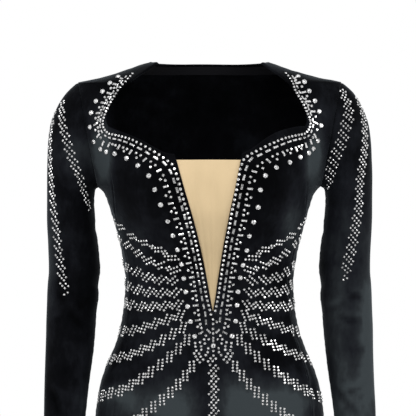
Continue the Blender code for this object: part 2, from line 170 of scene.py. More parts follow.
# Soft folds in the crook of the elbow
ElbowFold = namedtuple("ElbowFold", "height depth width slope")
ELBOW_FOLDS = tabled(
    ElbowFold,
    (-308, 2.6, 7, 0.20), (-325, 2.2, 8, 0.05), (-344, 2.4, 9, -0.18))
FOLD_ANGLE = 60.0
FOLD_SPREAD = 65.0


def smooth_line(places, values):
    """A smooth line through values at rising places, which never swings past them. It reads arrays."""
    places = np.array(places, float)
    values = np.array(values, float)
    spans = np.diff(places)
    rates = np.diff(values) / spans
    slopes = np.concatenate(([rates[0]], np.zeros(len(places) - 2), [rates[-1]]))
    same_way = np.flatnonzero(rates[:-1] * rates[1:] > 0)
    slopes[same_way + 1] = 2 * rates[same_way] * rates[same_way + 1] / (rates[same_way] + rates[same_way + 1])

    def read(place):
        place = np.clip(place, places[0], places[-1])
        i = np.clip(np.searchsorted(places, place, side="right") - 1, 0, len(spans) - 1)
        t = (place - places[i]) / spans[i]
        start = (1 + 2 * t) * (1 - t) ** 2 * values[i] + t * (1 - t) ** 2 * spans[i] * slopes[i]
        end = t * t * (3 - 2 * t) * values[i + 1] + t * t * (t - 1) * spans[i] * slopes[i + 1]
        return start + end

    return read


def line_through(rows, along, value):
    """A smooth line through one named column of a table, read along another."""
    points = sorted((getattr(row, along), getattr(row, value)) for row in rows)
    return smooth_line(*zip(*points))


half_width = line_through(OUTLINE, "height", "half_width")
front_depth = line_through(DEPTHS, "height", "front")
back_depth = line_through(DEPTHS, "height", "back")
squareness = line_through(DEPTHS, "height", "squareness")
neck_edge = line_through(NECK_EDGE, "height", "half_width")
plunge_edge = line_through(PLUNGE_EDGE, "height", "half_width")
princess_seam = line_through(PRINCESS_SEAM, "height", "angle")
sweetheart = line_through(SWEETHEART, "along", "height")
front_lean = line_through(FRONT_LEAN, "height", "shift")
ring_lines = {
    name: smooth_line(range(len(SLEEVE_RINGS)), [getattr(ring, name) for ring in SLEEVE_RINGS])
    for name in Ring._fields
}


def unit(vectors):
    """Vectors of the same directions, one unit long."""
    return vectors / np.linalg.norm(vectors, axis=-1, keepdims=True)


def angle_within(angle):
    """The same angle between -180 and 180."""
    return (angle + 180) % 360 - 180


def armhole_turn(height):
    """Angle round the armhole, from 0 at its bottom to 180 at its top."""
    middle = (ARMHOLE_TOP + ARMHOLE_BOTTOM) / 2
    half = (ARMHOLE_TOP - ARMHOLE_BOTTOM) / 2
    return np.degrees(np.arccos(np.clip((middle - height) / half, -1, 1)))


def armhole_place(height):
    """How far the armhole lies from the middle of the gown, and how far it opens to the front and back."""
    up = (height - ARMHOLE_BOTTOM) / (ARMHOLE_TOP - ARMHOLE_BOTTOM)
    reach = ARMHOLE_BOTTOM_REACH + up * (ARMHOLE_TOP_REACH - ARMHOLE_BOTTOM_REACH)
    return reach, ARMHOLE_DEPTH * np.sin(np.radians(armhole_turn(height)))


def armhole_angle(height, at_front):
    """The angle where the armhole's oval cuts the form, or the side seam's above and below it."""
    reach, opening = armhole_place(height)
    edge = np.degrees(np.arctan2(reach, np.where(at_front, opening, -opening)))
    return np.where((height > ARMHOLE_BOTTOM) & (height < ARMHOLE_TOP), edge, SIDE_ANGLE)


def plain_radius(angle, height):
    """Radius of the form's rounded section, without what draws it in or out."""
    turn = np.radians(angle)
    depth = np.where(np.cos(turn) >= 0, front_depth(height), back_depth(height))
    power = squareness(height)
    across = np.abs(np.sin(turn)) / half_width(height)
    along = np.abs(np.cos(turn)) / depth
    return (across ** power + along ** power) ** (-1 / power)


def armhole_draw(angle, height):
    """How far the armhole draws the form out beside it and just under the arm."""
    level = np.clip(height, ARMHOLE_BOTTOM, ARMHOLE_TOP)
    edge = armhole_angle(level, np.cos(np.radians(angle)) >= 0)
    draw = np.hypot(*armhole_place(level)) - plain_radius(edge, level)
    away = (np.abs(angle_within(angle)) - edge) / ARMHOLE_DRAW_ANGLE
    drawn = draw * np.exp(-away * away - (level - np.minimum(height, level)) / UNDERARM_FALL)
    return np.where(height >= ARMHOLE_TOP, 0.0, drawn)


def cup(angle, height):
    """How far a cup stands out."""
    spread = np.where(height > CUP_HEIGHT, CUP_RISE_SPREAD, CUP_FALL_SPREAD)
    across = (np.abs(angle_within(angle)) - CUP_ANGLE) / CUP_ANGLE_SPREAD
    return CUP_LIFT * np.exp(-across * across - ((height - CUP_HEIGHT) / spread) ** 2)


def flute(angle, height):
    """How far a flute of the hem stands out or in."""
    down = np.clip((FLUTE_START - height) / (FLUTE_START - HEM), 0, None)
    turn = np.radians(angle)
    size = 1 + FLUTE_UNEVENNESS * np.cos(UNEVEN_COUNT * turn + UNEVEN_START)
    wave = np.cos(FLUTE_COUNT * turn + FLUTE_SWAY * np.sin(SWAY_COUNT * turn))
    return FLUTE_DEPTH * down ** FLUTE_GROWTH * size * wave


def form_point(angle, height):
    """Points of the form. The angle is 0 at the centre front, 90 at the wearer's left side, 180 behind."""
    angle, height = np.broadcast_arrays(np.asarray(angle, float), np.asarray(height, float))
    turn = np.radians(angle)
    radius = plain_radius(angle, height) + armhole_draw(angle, height)
    radius = radius + cup(angle, height) + flute(angle, height)
    fade = np.clip((LEAN_END_ANGLE - np.abs(angle_within(angle))) / (LEAN_END_ANGLE - LEAN_FULL_ANGLE), 0, 1)
    lean = front_lean(height) * fade * fade * (3 - 2 * fade)
    return np.stack((radius * np.sin(turn) + lean, -radius * np.cos(turn), height), axis=-1)


def angle_at(half, height):
    """The angle at which the front of the form is this far from its centre."""
    low = np.zeros(np.broadcast(half, height).shape)
    high = np.full_like(low, SIDE_ANGLE)
    centre = form_point(0.0, height)[..., 0]
    for _ in range(ANGLE_HALVINGS):
        middle = (low + high) / 2
        short = form_point(middle, height)[..., 0] - centre < half
        low = np.where(short, middle, low)
        high = np.where(short, high, middle)
    return (low + high) / 2


def beside(angle, height, gap):
    """The angle a small distance further round the form."""
    radius = np.hypot(form_point(angle, height)[..., 0], form_point(angle, height)[..., 1])
    return angle + np.degrees(gap / radius)


def elbow_fold(turn, height):
    """How far the soft folds in the crook of the elbow stand out."""
    away = angle_within(turn - FOLD_ANGLE)
    lift = 0.0
    for fold in ELBOW_FOLDS:
        centre = fold.height + fold.slope * away
        lift = lift + fold.depth * np.exp(-((height - centre) / fold.width) ** 2)
    return lift * np.exp(-(away / FOLD_SPREAD) ** 2)


def sleeve_point(turn, step):
    """Points of the left sleeve. The turn is 0 under the arm, 90 at the front and 180 outside."""
    turn, step = np.broadcast_arrays(np.asarray(turn, float), np.asarray(step, float))
    ring = Ring(*(ring_lines[name](step) for name in Ring._fields))
    nothing = np.zeros_like(turn)
    middle_depth = (ring.back - ring.front) / 2
    under = np.stack((ring.inner, middle_depth, ring.inner_height), axis=-1)
    outside = np.stack((ring.outer, middle_depth, ring.outer_height), axis=-1)
    forward = np.stack((nothing, -(ring.front + ring.back) / 2, nothing), axis=-1)
    cosine = np.cos(np.radians(turn))[..., None]
    sine = np.sin(np.radians(turn))[..., None]
    out = (under - outside) / 2 * cosine + forward * sine
    point = (under + outside) / 2 + out
    lift = elbow_fold(turn, point[..., 2])[..., None]
    return point + unit(out) * lift


def armhole_seam(height, at_front):
    """Turns and points of the left armhole's edge at these heights, before or behind the arm."""
    turn = armhole_turn(height)
    return np.where(at_front, turn, 360 - turn), form_point(armhole_angle(height, at_front), height)


# How finely the cloth is laid: spacings along a seam, and steps of the spacing beside an edge
ANGLE_HALVINGS = 34
SKIRT_SPACING = 4.8
BODICE_SPACING = 3.4
SHOULDER_SPACING = 2.6
SLEEVE_SPACING = 4.2
EDGE_STEPS = (0.25, 0.35, 0.5, 0.75)
ARMHOLE_SPANS = 48
FRONT_COLUMNS = 44
SIDE_COLUMNS = 22
BACK_COLUMNS = 92
INSERT_COLUMNS = 60

# Sewn and turned edges
SEAM_RISE = 0.9
SEAM_REACH = 3.6
PUCKER = 0.35
PUCKER_LENGTH = 13.0
FOLD_REACH = 1.2
TURNED_RISE = 0.35
TURNED_EDGE = 1.5
STEEP = 30
HEM_TURN = 20.0
CUFF_TURN = 16.0
NECK_TURN = 6.0
PUCKER_SWAY = 1.3
PUCKER_SWAY_RATE = 0.37
SLEEVE_SEAM = 0.6
MERGE_DISTANCE = 0.00001
SMOOTH_ANGLE = 50


def spread(start, end, spacing, fine_start=False, fine_end=False):
    """Even places between two ends, closing up towards an end that is a fine one."""
    steps = np.ones(max(round(abs(end - start) / spacing), 2 * len(EDGE_STEPS) + 1))
    if fine_start:
        steps[:len(EDGE_STEPS)] = EDGE_STEPS
    if fine_end:
        steps[-len(EDGE_STEPS):] = EDGE_STEPS[::-1]
    return start + (end - start) * np.concatenate(([0.0], np.cumsum(steps))) / steps.sum()


ARMHOLE_LEVELS = (ARMHOLE_TOP + ARMHOLE_BOTTOM) / 2 - (ARMHOLE_TOP - ARMHOLE_BOTTOM) / 2 * np.cos(
    np.linspace(0, math.pi, ARMHOLE_SPANS + 1))
BODY_LEVELS = np.concatenate((
    spread(HEM, PLUNGE_TIP, SKIRT_SPACING, fine_start=True)[:-1],
    spread(PLUNGE_TIP, ARMHOLE_BOTTOM, BODICE_SPACING)[:-1],
    ARMHOLE_LEVELS[:-1],
    spread(ARMHOLE_TOP, SHOULDER_TOP, SHOULDER_SPACING, fine_end=True),
))
FRONT_LEVELS = np.concatenate((
    spread(HEM, PLUNGE_TIP, SKIRT_SPACING, fine_start=True)[:-1],
    spread(PLUNGE_TIP, CORNER_HEIGHT, BODICE_SPACING, fine_end=True),
))

# Creases that the body of the gown shows as it is worn, the same on both sides but for their height.
# The bow is how far the middle of a crease hangs below its ends.
Crease = namedtuple("Crease", "start start_height end end_height bow depth width")
BODY_CREASES = tabled(
    Crease,
    (86, -190, 64, -232, 3, 0.8, 6), (88, -288, 50, -296, 4, 0.7, 7), (76, -352, 36, -344, 3, 1.2, 5),
    (88, -372, 52, -366, 3, 0.7, 6), (89, -452, 50, -438, 5, 1.2, 7), (89, -474, 58, -486, 6, 1.0, 8),
    (60, -548, 12, -560, 6, 0.7, 12), (70, -842, 20, -862, 8, 1.4, 13), (66, -905, 24, -884, -6, 1.3, 12),
    (96, -196, 132, -226, 5, 1.1, 8), (94, -262, 138, -286, 6, 1.3, 8), (97, -312, 164, -318, 7, 1.7, 8),
    (95, -340, 156, -346, 7, 1.9, 8), (96, -370, 150, -378, 6, 1.3, 8),
    (112, -612, 168, -634, 9, 1.4, 13), (104, -852, 158, -870, 9, 1.6, 14),
    (108, -900, 162, -890, -7, 1.4, 13))
BODY_DEGREE = 2.1
CREASE_SHIFT = 5.0
CREASE_RIDGE = 0.6
RIDGE_PLACE = 1.9

# Creases of each sleeve, by its turn from under the arm
LEFT_SLEEVE_CREASES = tabled(
    Crease,
    (52, -78, 16, -176, -4, 1.3, 7), (88, -330, 132, -332, -7, 2.5, 4.5),
    (60, -354, 126, -359, 3, 2.1, 5), (26, -347, 92, -332, 2, 1.7, 5), (98, -398, 143, -395, 3, 1.3, 6),
    (47, -465, 157, -445, 3, 2.2, 5), (94, -471, 139, -459, 2, 1.6, 4.5),
    (28, -451, 102, -492, 4, 1.9, 6), (30, -540, 110, -562, 5, 1.2, 7), (190, -296, 300, -306, 8, 1.5, 9),
    (200, -340, 320, -352, 6, 1.4, 9), (190, -470, 290, -486, 6, 1.3, 9),
    (320, -190, 372, -238, 5, 1.4, 7))
RIGHT_SLEEVE_CREASES = tabled(
    Crease,
    (56, -82, 18, -174, -4, 1.5, 7), (127, -314, 102, -334, 1, 2.3, 4), (104, -336, 50, -369, 5, 1.9, 6),
    (132, -358, 106, -355, 2, 1.9, 4), (110, -381, 52, -384, 4, 1.4, 5),
    (148, -454, 98, -498, -3, 2.2, 6), (138, -456, 60, -481, 5, 1.8, 6), (76, -520, 130, -508, 4, 1.2, 7),
    (36, -552, 112, -560, 4, 1.1, 7), (196, -300, 300, -308, 8, 1.5, 9),
    (200, -344, 316, -354, 6, 1.4, 9), (196, -478, 290, -470, 6, 1.3, 9),
    (320, -196, 374, -232, 5, 1.4, 7))
SLEEVE_DEGREE = 0.66

# Painted sheen and painted shade on the velvet, as seen from the front: the middle of each patch that is
# painted paler (painted sheen, as on the side panels, the hips and the sleeves' outer edges) or deeper below
# nought (painted shade, as on the bust and the shoulders), how far it reaches, its turn, and how much it
# differs
Patch = namedtuple("Patch", "x height half_width half_height turn shade")
# How strongly the same painted sheen and shade is laid on the back
BACK_SHARE = 0.3
VELVET_PAINTED_LIGHT = tabled(
    Patch,
    (-192, -122, 22, 34, 8, 0.36), (-228, -275, 10, 88, 0, 0.48), (-178, -460, 18, 66, 0, 0.30),
    (-205, -520, 30, 40, 0, 0.16), (182, -120, 26, 60, 0, 0.10), (200, -225, 30, 66, 0, 0.12),
    (184, -370, 26, 105, 0, 0.60), (232, -385, 18, 115, 0, 1.00), (205, -490, 40, 50, 0, 0.55),
    (-153, -120, 14, 44, 4, 1.15), (150, -126, 13, 46, -4, 1.00), (-130, -230, 10, 44, 6, 0.40),
    (116, -222, 16, 44, -6, 0.62), (-100, -250, 40, 55, 0, 0.17), (-60, -330, 60, 40, 0, 0.12),
    (60, -265, 45, 40, 0, 0.06), (0, -385, 110, 40, 0, 0.22), (-52, -482, 42, 40, 0, 0.95),
    (-124, -474, 36, 32, 20, 0.70), (46, -482, 36, 42, 0, 1.05), (112, -476, 38, 36, -20, 0.95),
    (88, -408, 26, 22, 0, -0.16), (-135, -14, 30, 26, 0, -0.22), (120, -24, 34, 30, 0, -0.20),
    (-80, -160, 50, 48, 0, -0.17), (76, -158, 46, 46, 0, -0.17), (-70, -640, 60, 90, 10, 0.22),
    (85, -700, 55, 110, -8, 0.26), (-20, -900, 50, 120, 0, 0.20), (-190, -1280, 70, 120, 15, 0.25),
    (40, -1240, 60, 130, 0, 0.28), (210, -1300, 60, 110, -15, 0.22))
# Painted shade on the mesh insert, deeper over its middle and lower part, with a thin painted highlight and a
# thin darker streak of painted shade
MESH_PAINTED_LIGHT = tabled(
    Patch,
    (3, -300, 90, 100, 0, -0.50), (20, -170, 10, 60, 4, 0.10), (-22, -200, 8, 60, -6, -0.08))
# Painted shade in the creases' troughs and painted sheen on the ridges beside them, by how far the cloth
# stands in or out
CREASE_PAINTED_LIGHT = 0.09

# Slight unevenness of cloth over a body: waves across and up, in millimetres
Wave = namedtuple("Wave", "x y z phase rise")
UNEVENNESS = tabled(
    Wave,
    (0.041, 0.027, 0.019, 0.4, 0.30), (-0.029, 0.045, 0.033, 1.9, 0.26),
    (0.071, -0.038, 0.052, 3.1, 0.16), (-0.064, -0.081, 0.087, 5.2, 0.11))
WAVE_SWAY = 0.8
WAVE_SWAY_RATE = 0.6


def creases(rows, across, height, degree):
    """How far creases stand out: each is a trough with a lower ridge on its upper side."""
    lift = np.zeros(np.broadcast(across, height).shape)
    for row in rows:
        run = (row.end - row.start) * degree
        rise = row.end_height - row.start_height
        length = math.hypot(run, rise)
        x = (across - row.start) * degree
        z = height - row.start_height
        along = (x * run + z * rise) / length ** 2
        away = (z * run - x * rise) / length * math.copysign(1, run)
        taper = np.clip(1 - (2 * along - 1) ** 2, 0, None)
        away = (away + row.bow * taper) / row.width
        trough = np.exp(-away ** 2)
        ridge = CREASE_RIDGE * np.exp(-(away - RIDGE_PLACE) ** 2)
        lift += row.depth * taper * (ridge - trough)
    return lift


def unevenness(points):
    """How far the slight unevenness of the cloth stands out."""
    lift = np.zeros(points.shape[:-1])
    for wave in UNEVENNESS:
        place = points @ np.array(wave[:3]) + wave.phase
        lift += wave.rise * np.sin(place + WAVE_SWAY * np.sin(WAVE_SWAY_RATE * place))
    return lift


def body_relief(angle, height):
    """How far the cloth of the body stands out or in from the form."""
    side = np.sign(angle_within(angle))
    level = height + side * CREASE_SHIFT
    return creases(BODY_CREASES, np.abs(angle_within(angle)), level, BODY_DEGREE)


def painted_patch_light(points, patches):
    """How much painted sheen (paler) or painted shade (deeper) the patches put at each point."""
    shade = np.zeros(points.shape[:-1])
    for patch in patches:
        turn = math.radians(patch.turn)
        x = points[..., 0] - patch.x
        z = points[..., 2] - patch.height
        across = (x * math.cos(turn) + z * math.sin(turn)) / patch.half_width
        up = (z * math.cos(turn) - x * math.sin(turn)) / patch.half_height
        shade += patch.shade * np.exp(-across ** 2 - up ** 2)
    return shade


def facing(points, closed=False):
    """The direction that faces out at each point of a grid."""
    if closed:
        along = np.roll(points, -1, axis=1) - np.roll(points, 1, axis=1)
    else:
        along = np.gradient(points, axis=1)
    return unit(np.cross(along, np.gradient(points, axis=0)))


def lengths(points, axis):
    """The distance run along a grid's rows (axis 1) or columns (axis 0)."""
    spans = np.linalg.norm(np.diff(points, axis=axis), axis=-1)
    pad = [(0, 0), (0, 0)]
    pad[axis] = (1, 0)
    return np.cumsum(np.pad(spans, pad), axis=axis)


def sewn(distance, along):
    """Cloth beside a seam: it dips to the stitches and puffs up beside them, a little unevenly."""
    ease = distance / SEAM_REACH * np.exp(1 - distance / SEAM_REACH)
    place = 2 * math.pi * along / PUCKER_LENGTH
    return SEAM_RISE * ease * (1 + PUCKER * np.sin(place + PUCKER_SWAY * np.sin(PUCKER_SWAY_RATE * place)))


def turned(distance, allowance):
    """Cloth beside an edge that is turned in: rounded at the fold, and thicker over the allowance."""
    double = TURNED_RISE / (1 + np.exp(np.clip((distance - allowance) / TURNED_EDGE, -STEEP, STEEP)))
    return double - FOLD_DEPTH * np.exp(-(distance / FOLD_REACH) ** 2)


def edge_relief(points, seams, folds):
    """Relief beside a grid's edges, by how much of each is sewn, or turned in and how far."""
    along_row, along_column = lengths(points, 1), lengths(points, 0)
    reach = {
        "right": (along_row, along_column),
        "left": (along_row[:, -1:] - along_row, along_column),
        "bottom": (along_column, along_row),
        "top": (along_column[-1:] - along_column, along_row),
    }
    lift = np.zeros(points.shape[:-1])
    for edge, share in seams.items():
        lift += share * sewn(*reach[edge])
    for edge, (share, allowance) in folds.items():
        lift += share * turned(reach[edge][0], allowance)
    return lift


def select(*pieces):
    """Selects these pieces alone, and makes the first one active."""
    bpy.ops.object.select_all(action="DESELECT")
    for piece in pieces:
        piece.select_set(True)
    bpy.context.view_layer.objects.active = pieces[0]


def add_piece(operator, name, **options):
    """A new piece, made by one of Blender's operators."""
    bpy.ops.object.select_all(action="DESELECT")
    operator(**options)
    piece = bpy.context.object
    piece.name = name
    piece.data.name = name
    return piece


def lay_cloth(name, cloth, patches):
    """A sheet of quads, with rows that run up and columns to the left, and the painted sheen and shade laid
    on it.
    """
    points, relief = cloth
    rows, columns = points.shape[:2]
    piece = add_piece(bpy.ops.mesh.primitive_grid_add, name,
                      x_subdivisions=columns - 1, y_subdivisions=rows - 1, size=2)
    mesh = piece.data
    flat = np.empty(len(mesh.vertices) * 3)
    mesh.vertices.foreach_get("co", flat)
    flat = flat.reshape(-1, 3)
    column = np.rint((flat[:, 0] + 1) / 2 * (columns - 1)).astype(int)
    row = np.rint((flat[:, 1] + 1) / 2 * (rows - 1)).astype(int)
    mesh.vertices.foreach_set("co", (points[row, column] * MM).ravel())
    across = lengths(points, 1)
    across = across - across[:, -1:] / 2
    corners = np.empty(len(mesh.loops), int)
    mesh.loops.foreach_get("vertex_index", corners)
    places = np.stack((across, lengths(points, 0)), axis=-1)[row, column][corners] * MM
    mesh.uv_layers[0].data.foreach_set("uv", places.ravel())
    # Painted sheen and shade of the patches, and of the creases by their relief
    shade = painted_patch_light(points, patches) + CREASE_PAINTED_LIGHT * relief
    painted_light = mesh.attributes.new("painted_light", "FLOAT", "POINT")
    painted_light.data.foreach_set("value", shade[row, column].ravel())
    mesh.update()
    return piece


def join(name, *pieces):
    """One piece of several, or of one, with the points that lie on each other merged."""
    select(*pieces)
    if len(pieces) > 1:
        bpy.ops.object.join()
    piece = pieces[0]
    piece.name = name
    piece.data.name = name
    bpy.ops.object.mode_set(mode="EDIT")
    bpy.ops.mesh.select_all(action="SELECT")
    bpy.ops.mesh.remove_doubles(threshold=MERGE_DISTANCE)
    bpy.ops.object.mode_set(mode="OBJECT")
    return piece


def outer_tree(*pieces):
    """A search tree of the faces of some pieces, before they are thickened."""
    points, faces = [], []
    for piece in pieces:
        start = len(points)
        points += [vertex.co.copy() for vertex in piece.data.vertices]
        faces += [[start + i for i in face.vertices] for face in piece.data.polygons]
    return BVHTree.FromPolygons(points, faces)


def thicken(piece, wall):
    """Gives a sheet its thickness on the inside."""
    select(piece)
    thickness = piece.modifiers.new("thickness", "SOLIDIFY")
    thickness.thickness = wall * MM
    thickness.offset = -1
    bpy.ops.object.modifier_apply(modifier=thickness.name)
    bpy.ops.object.shade_smooth_by_angle(angle=math.radians(SMOOTH_ANGLE))


def finish_piece(piece, material):
    piece.data.materials.append(material)
    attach(piece, "root")


def raised(points, lift, closed=False):
    return points + facing(points, closed) * lift[..., None]


def shares(columns):
    """Places across a grid as shares of its width, which close up towards both edges."""
    return spread(0, columns, 1, True, True)[None, :] / columns


def half_cloth(side, angle, height, inner_seam, inner_fold):
    """Points of half a body piece, the relief of its creases, and how far out the cloth stands in all.

    The last two values say how much of each row is sewn, and turned in, at the edge nearer the centre.
    """
    points, relief = form_point(angle, height), body_relief(angle, height)
    if side < 0:
        points, relief = points[:, ::-1], relief[:, ::-1]
    inner, outer = ("right", "left") if side > 0 else ("left", "right")
    lift = relief + unevenness(points)
    lift += edge_relief(points, {inner: inner_seam, outer: 1.0}, {
        inner: (inner_fold, NECK_TURN), "top": (1.0, NECK_TURN), "bottom": (1.0, HEM_TURN)})
    return points, relief, lift


def front_half(side):
    """Points of one half of the front, from the centre to the princess seam."""
    level = FRONT_LEVELS[:, None]
    along = shares(FRONT_COLUMNS)
    fade = np.clip((level - SWEETHEART_FADE) / (CORNER_HEIGHT - SWEETHEART_FADE), 0, None)
    drop = sweetheart(along) - CORNER_HEIGHT + side * CUP_DROP * np.sqrt(np.abs(np.sin(math.pi * along)))
    height = level + drop * fade
    start = np.where(height > PLUNGE_TIP, angle_at(plunge_edge(height), height), 0.0)
    end = beside(princess_seam(height), height, -SEAM_GAP / 2)
    angle = side * (start + along * (end - start))
    points, relief, lift = half_cloth(side, angle, height, 0.0, (level > PLUNGE_TIP).astype(float))
    normals = facing(points)
    centre = 0 if side > 0 else -1
    normals[level[:, 0] <= PLUNGE_TIP, centre, 0] = 0
    return points + unit(normals) * lift[..., None], relief


def side_front(side):
    """Points of a side front, from the neckline or the princess seam to the armhole or the side seam."""
    height = BODY_LEVELS[:, None]
    start = np.where(height > CORNER_HEIGHT, angle_at(neck_edge(height), height),
                     beside(princess_seam(height), height, SEAM_GAP / 2))
    end = armhole_angle(height, True)
    end = np.where(end == SIDE_ANGLE, beside(SIDE_ANGLE, height, -SEAM_GAP / 2), end)
    neck = (height > CORNER_HEIGHT).astype(float)
    angle = side * (start + (end - start) * shares(SIDE_COLUMNS))
    points, relief, lift = half_cloth(side, angle, height, 1 - neck, neck)
    return raised(points, lift), relief


def back_points(low=HEM, high=SHOULDER_TOP, sunk=0.0):
    """Points of the back, from the wearer's left side round to the right."""
    height = BODY_LEVELS[(BODY_LEVELS >= low) & (BODY_LEVELS <= high)][:, None]
    start = armhole_angle(height, False)
    start = np.where(start == SIDE_ANGLE, beside(SIDE_ANGLE, height, SEAM_GAP / 2), start)
    angle = start + 2 * (BACK_ANGLE - start) * shares(BACK_COLUMNS)
    points, relief = form_point(angle, height), body_relief(angle, height)
    lift = relief + unevenness(points) - sunk
    if not sunk:
        lift += edge_relief(points, {"right": 1.0, "left": 1.0},
                            {"top": (1.0, NECK_TURN), "bottom": (1.0, HEM_TURN)})
    return raised(points, lift), relief


def sleeve_points(side, rows):
    """Points of a sleeve with these creases, from the cuff up to the armhole, round from under the arm."""
    middle = np.array([(ring.inner_height + ring.outer_height) / 2 for ring in SLEEVE_RINGS])
    places = spread(middle[-1], middle[0], SLEEVE_SPACING, True, True)
    step = np.interp(-places, -middle, np.arange(len(middle)))[:, None]
    front_turn, front_seam = armhole_seam(ARMHOLE_LEVELS, True)
    back_turn, back_seam = armhole_seam(ARMHOLE_LEVELS[::-1][1:], False)
    turn = np.concatenate((front_turn, back_turn))[None, :]
    turn[0, -1] = 360
    seam = np.concatenate((front_seam, back_seam))
    settle = np.clip(1 - step, 0, 1) ** 2
    points = sleeve_point(turn, step) + (seam - sleeve_point(turn, 0.0))[None, 0] * settle[..., None]
    points[-1] += unit(points[-2] - points[-1]) * SEAM_GAP
    height = points[..., 2]
    relief = sum(creases(rows, turn + round_arm, height, SLEEVE_DEGREE) for round_arm in (0, -360, 360))
    ring = points[:, :-1]
    lift = relief[:, :-1] + unevenness(ring * np.array((side, 1, 1)))
    lift = np.concatenate((lift, lift[:, :1]), axis=1)
    lift += edge_relief(points, {"right": SLEEVE_SEAM, "left": SLEEVE_SEAM, "top": 1.0},
                        {"bottom": (1.0, CUFF_TURN)})
    ring = raised(ring, lift[:, :-1], closed=True)
    points = np.concatenate((ring, ring[:, :1]), axis=1)
    if side < 0:
        points, relief = points[:, ::-1] * np.array((-1, 1, 1)), relief[:, ::-1]
    return points, relief


# Soft upright wrinkles of the mesh insert
InsertWrinkle = namedtuple("InsertWrinkle", "out lean depth width")
INSERT_WRINKLES = tabled(
    InsertWrinkle,
    (-0.72, 0.05, 0.36, 0.07), (-0.42, -0.06, 0.54, 0.09), (-0.12, 0.08, 0.42, 0.08),
    (0.22, -0.05, 0.54, 0.10), (0.5, 0.06, 0.36, 0.07), (0.78, -0.04, 0.42, 0.08))
WRINKLE_SPAN = 0.86
WRINKLE_START = 0.3
INSERT_UNEVENNESS = 0.25
INSERT_GRIP = 8
INSERT_HEM = 4.0
INSERT_HEM_SHARE = 0.5


def insert_points():
    """Points of the mesh insert, from under the plunge's tip up to its straight top edge."""
    bottom = PLUNGE_TIP - INSERT_ALLOWANCE
    height = spread(bottom, INSERT_TOP, BODICE_SPACING, True, True)[:, None]
    half = angle_at(plunge_edge(height) + INSERT_ALLOWANCE, height)
    across = spread(0, INSERT_COLUMNS, 1)[None, :] / INSERT_COLUMNS * 2 - 1
    points = form_point(half * across, height)
    up = (height - bottom) / (INSERT_TOP - bottom)
    lift = INSERT_UNEVENNESS * unevenness(points) - INSERT_DEPTH
    free = (1 - across ** INSERT_GRIP) * np.sin(math.pi * up * WRINKLE_SPAN + WRINKLE_START)
    for wrinkle in INSERT_WRINKLES:
        away = (across - wrinkle.out - wrinkle.lean * up) / wrinkle.width
        lift -= wrinkle.depth * free * np.exp(-away ** 2)
    lift += edge_relief(points, {}, {"top": (1.0, INSERT_HEM)}) * INSERT_HEM_SHARE
    return raised(points, lift), np.zeros(lift.shape)


# Stones, in millimetres. Each is modelled once, one millimetre across, and copied at its size.
STONE_SINK = 0.1
STONE_TILT = 9.0
STONE_SEED = 7
STEEPEST = 0.35
UPRIGHT = np.array((0.0, 0.0, 1.0))
SMALL_STONE = 4.0
TRIO_STONE = 4.2
SMALL_HEIGHT = 1.4
LARGE_STONE = 7.6
LARGE_HEIGHT = 2.8
BAGUETTE_HEIGHT = 1.5
BAND_STONE = 3.75
TILT_SHARE = 0.5
FACES_OUT = 0.9
ACROSS = (1, 0)
# How the stones are cut: how far each step rises, and how much it is drawn in, along and across
SMALL_FACETS = 8
SMALL_STEPS = ((0.42, 0.74, 0.74), (0.28, 0.74, 0.74))
LARGE_FACETS = 10
LARGE_STEPS = ((0.35, 0.82, 0.82), (0.22, 0.78, 0.78), (0.13, 0.7, 0.7))
BAGUETTE_STEPS = ((0.35, 0.9, 0.74), (0.25, 0.84, 0.6))
ROUND_GIRDLE = 0.3
BAGUETTE_GIRDLE = 0.4
LONG_STONE = 1.5

# Line of small round stones beside the neckline and the plunge, from the shoulder down to the plunge's
# tip: how far out from the leaning centre each place is, its height, and the stones' pitch and size there
TrimPlace = namedtuple("TrimPlace", "out height pitch size")
ROUND_LINE = tabled(
    TrimPlace,
    (110.3, -4, 5.0, 3.7), (115.8, -10.6, 5.0, 3.7), (123.8, -21.8, 5.0, 3.8), (130.7, -34.7, 5.0, 3.8),
    (138.2, -47.5, 4.9, 3.9), (144.7, -61, 4.8, 3.9), (148, -70.4, 4.8, 3.9), (148.6, -76, 4.6, 3.9),
    (147.5, -82, 4.4, 3.9), (144.7, -87.5, 4.3, 3.9), (139.6, -91.3, 4.4, 4.0), (131.4, -92.9, 4.7, 4.0),
    (118.4, -96.1, 5.1, 4.1), (108.3, -99.5, 5.9, 4.2), (96.4, -105.6, 7.0, 4.3), (83.5, -113, 7.4, 4.4),
    (69.9, -121.6, 7.5, 4.5), (57.3, -130.9, 7.5, 4.5), (51.8, -135.5, 7.4, 4.5), (48.2, -143, 7.4, 4.6),
    (44.4, -156.9, 7.5, 4.6), (41, -172, 7.3, 4.6), (37, -188, 7.0, 4.6), (33, -202, 6.8, 4.5),
    (23.5, -242, 6.7, 4.4), (14.5, -290, 6.65, 4.3), (8.6, -326, 6.6, 4.2), (2.7, -349.5, 6.6, 4.2))
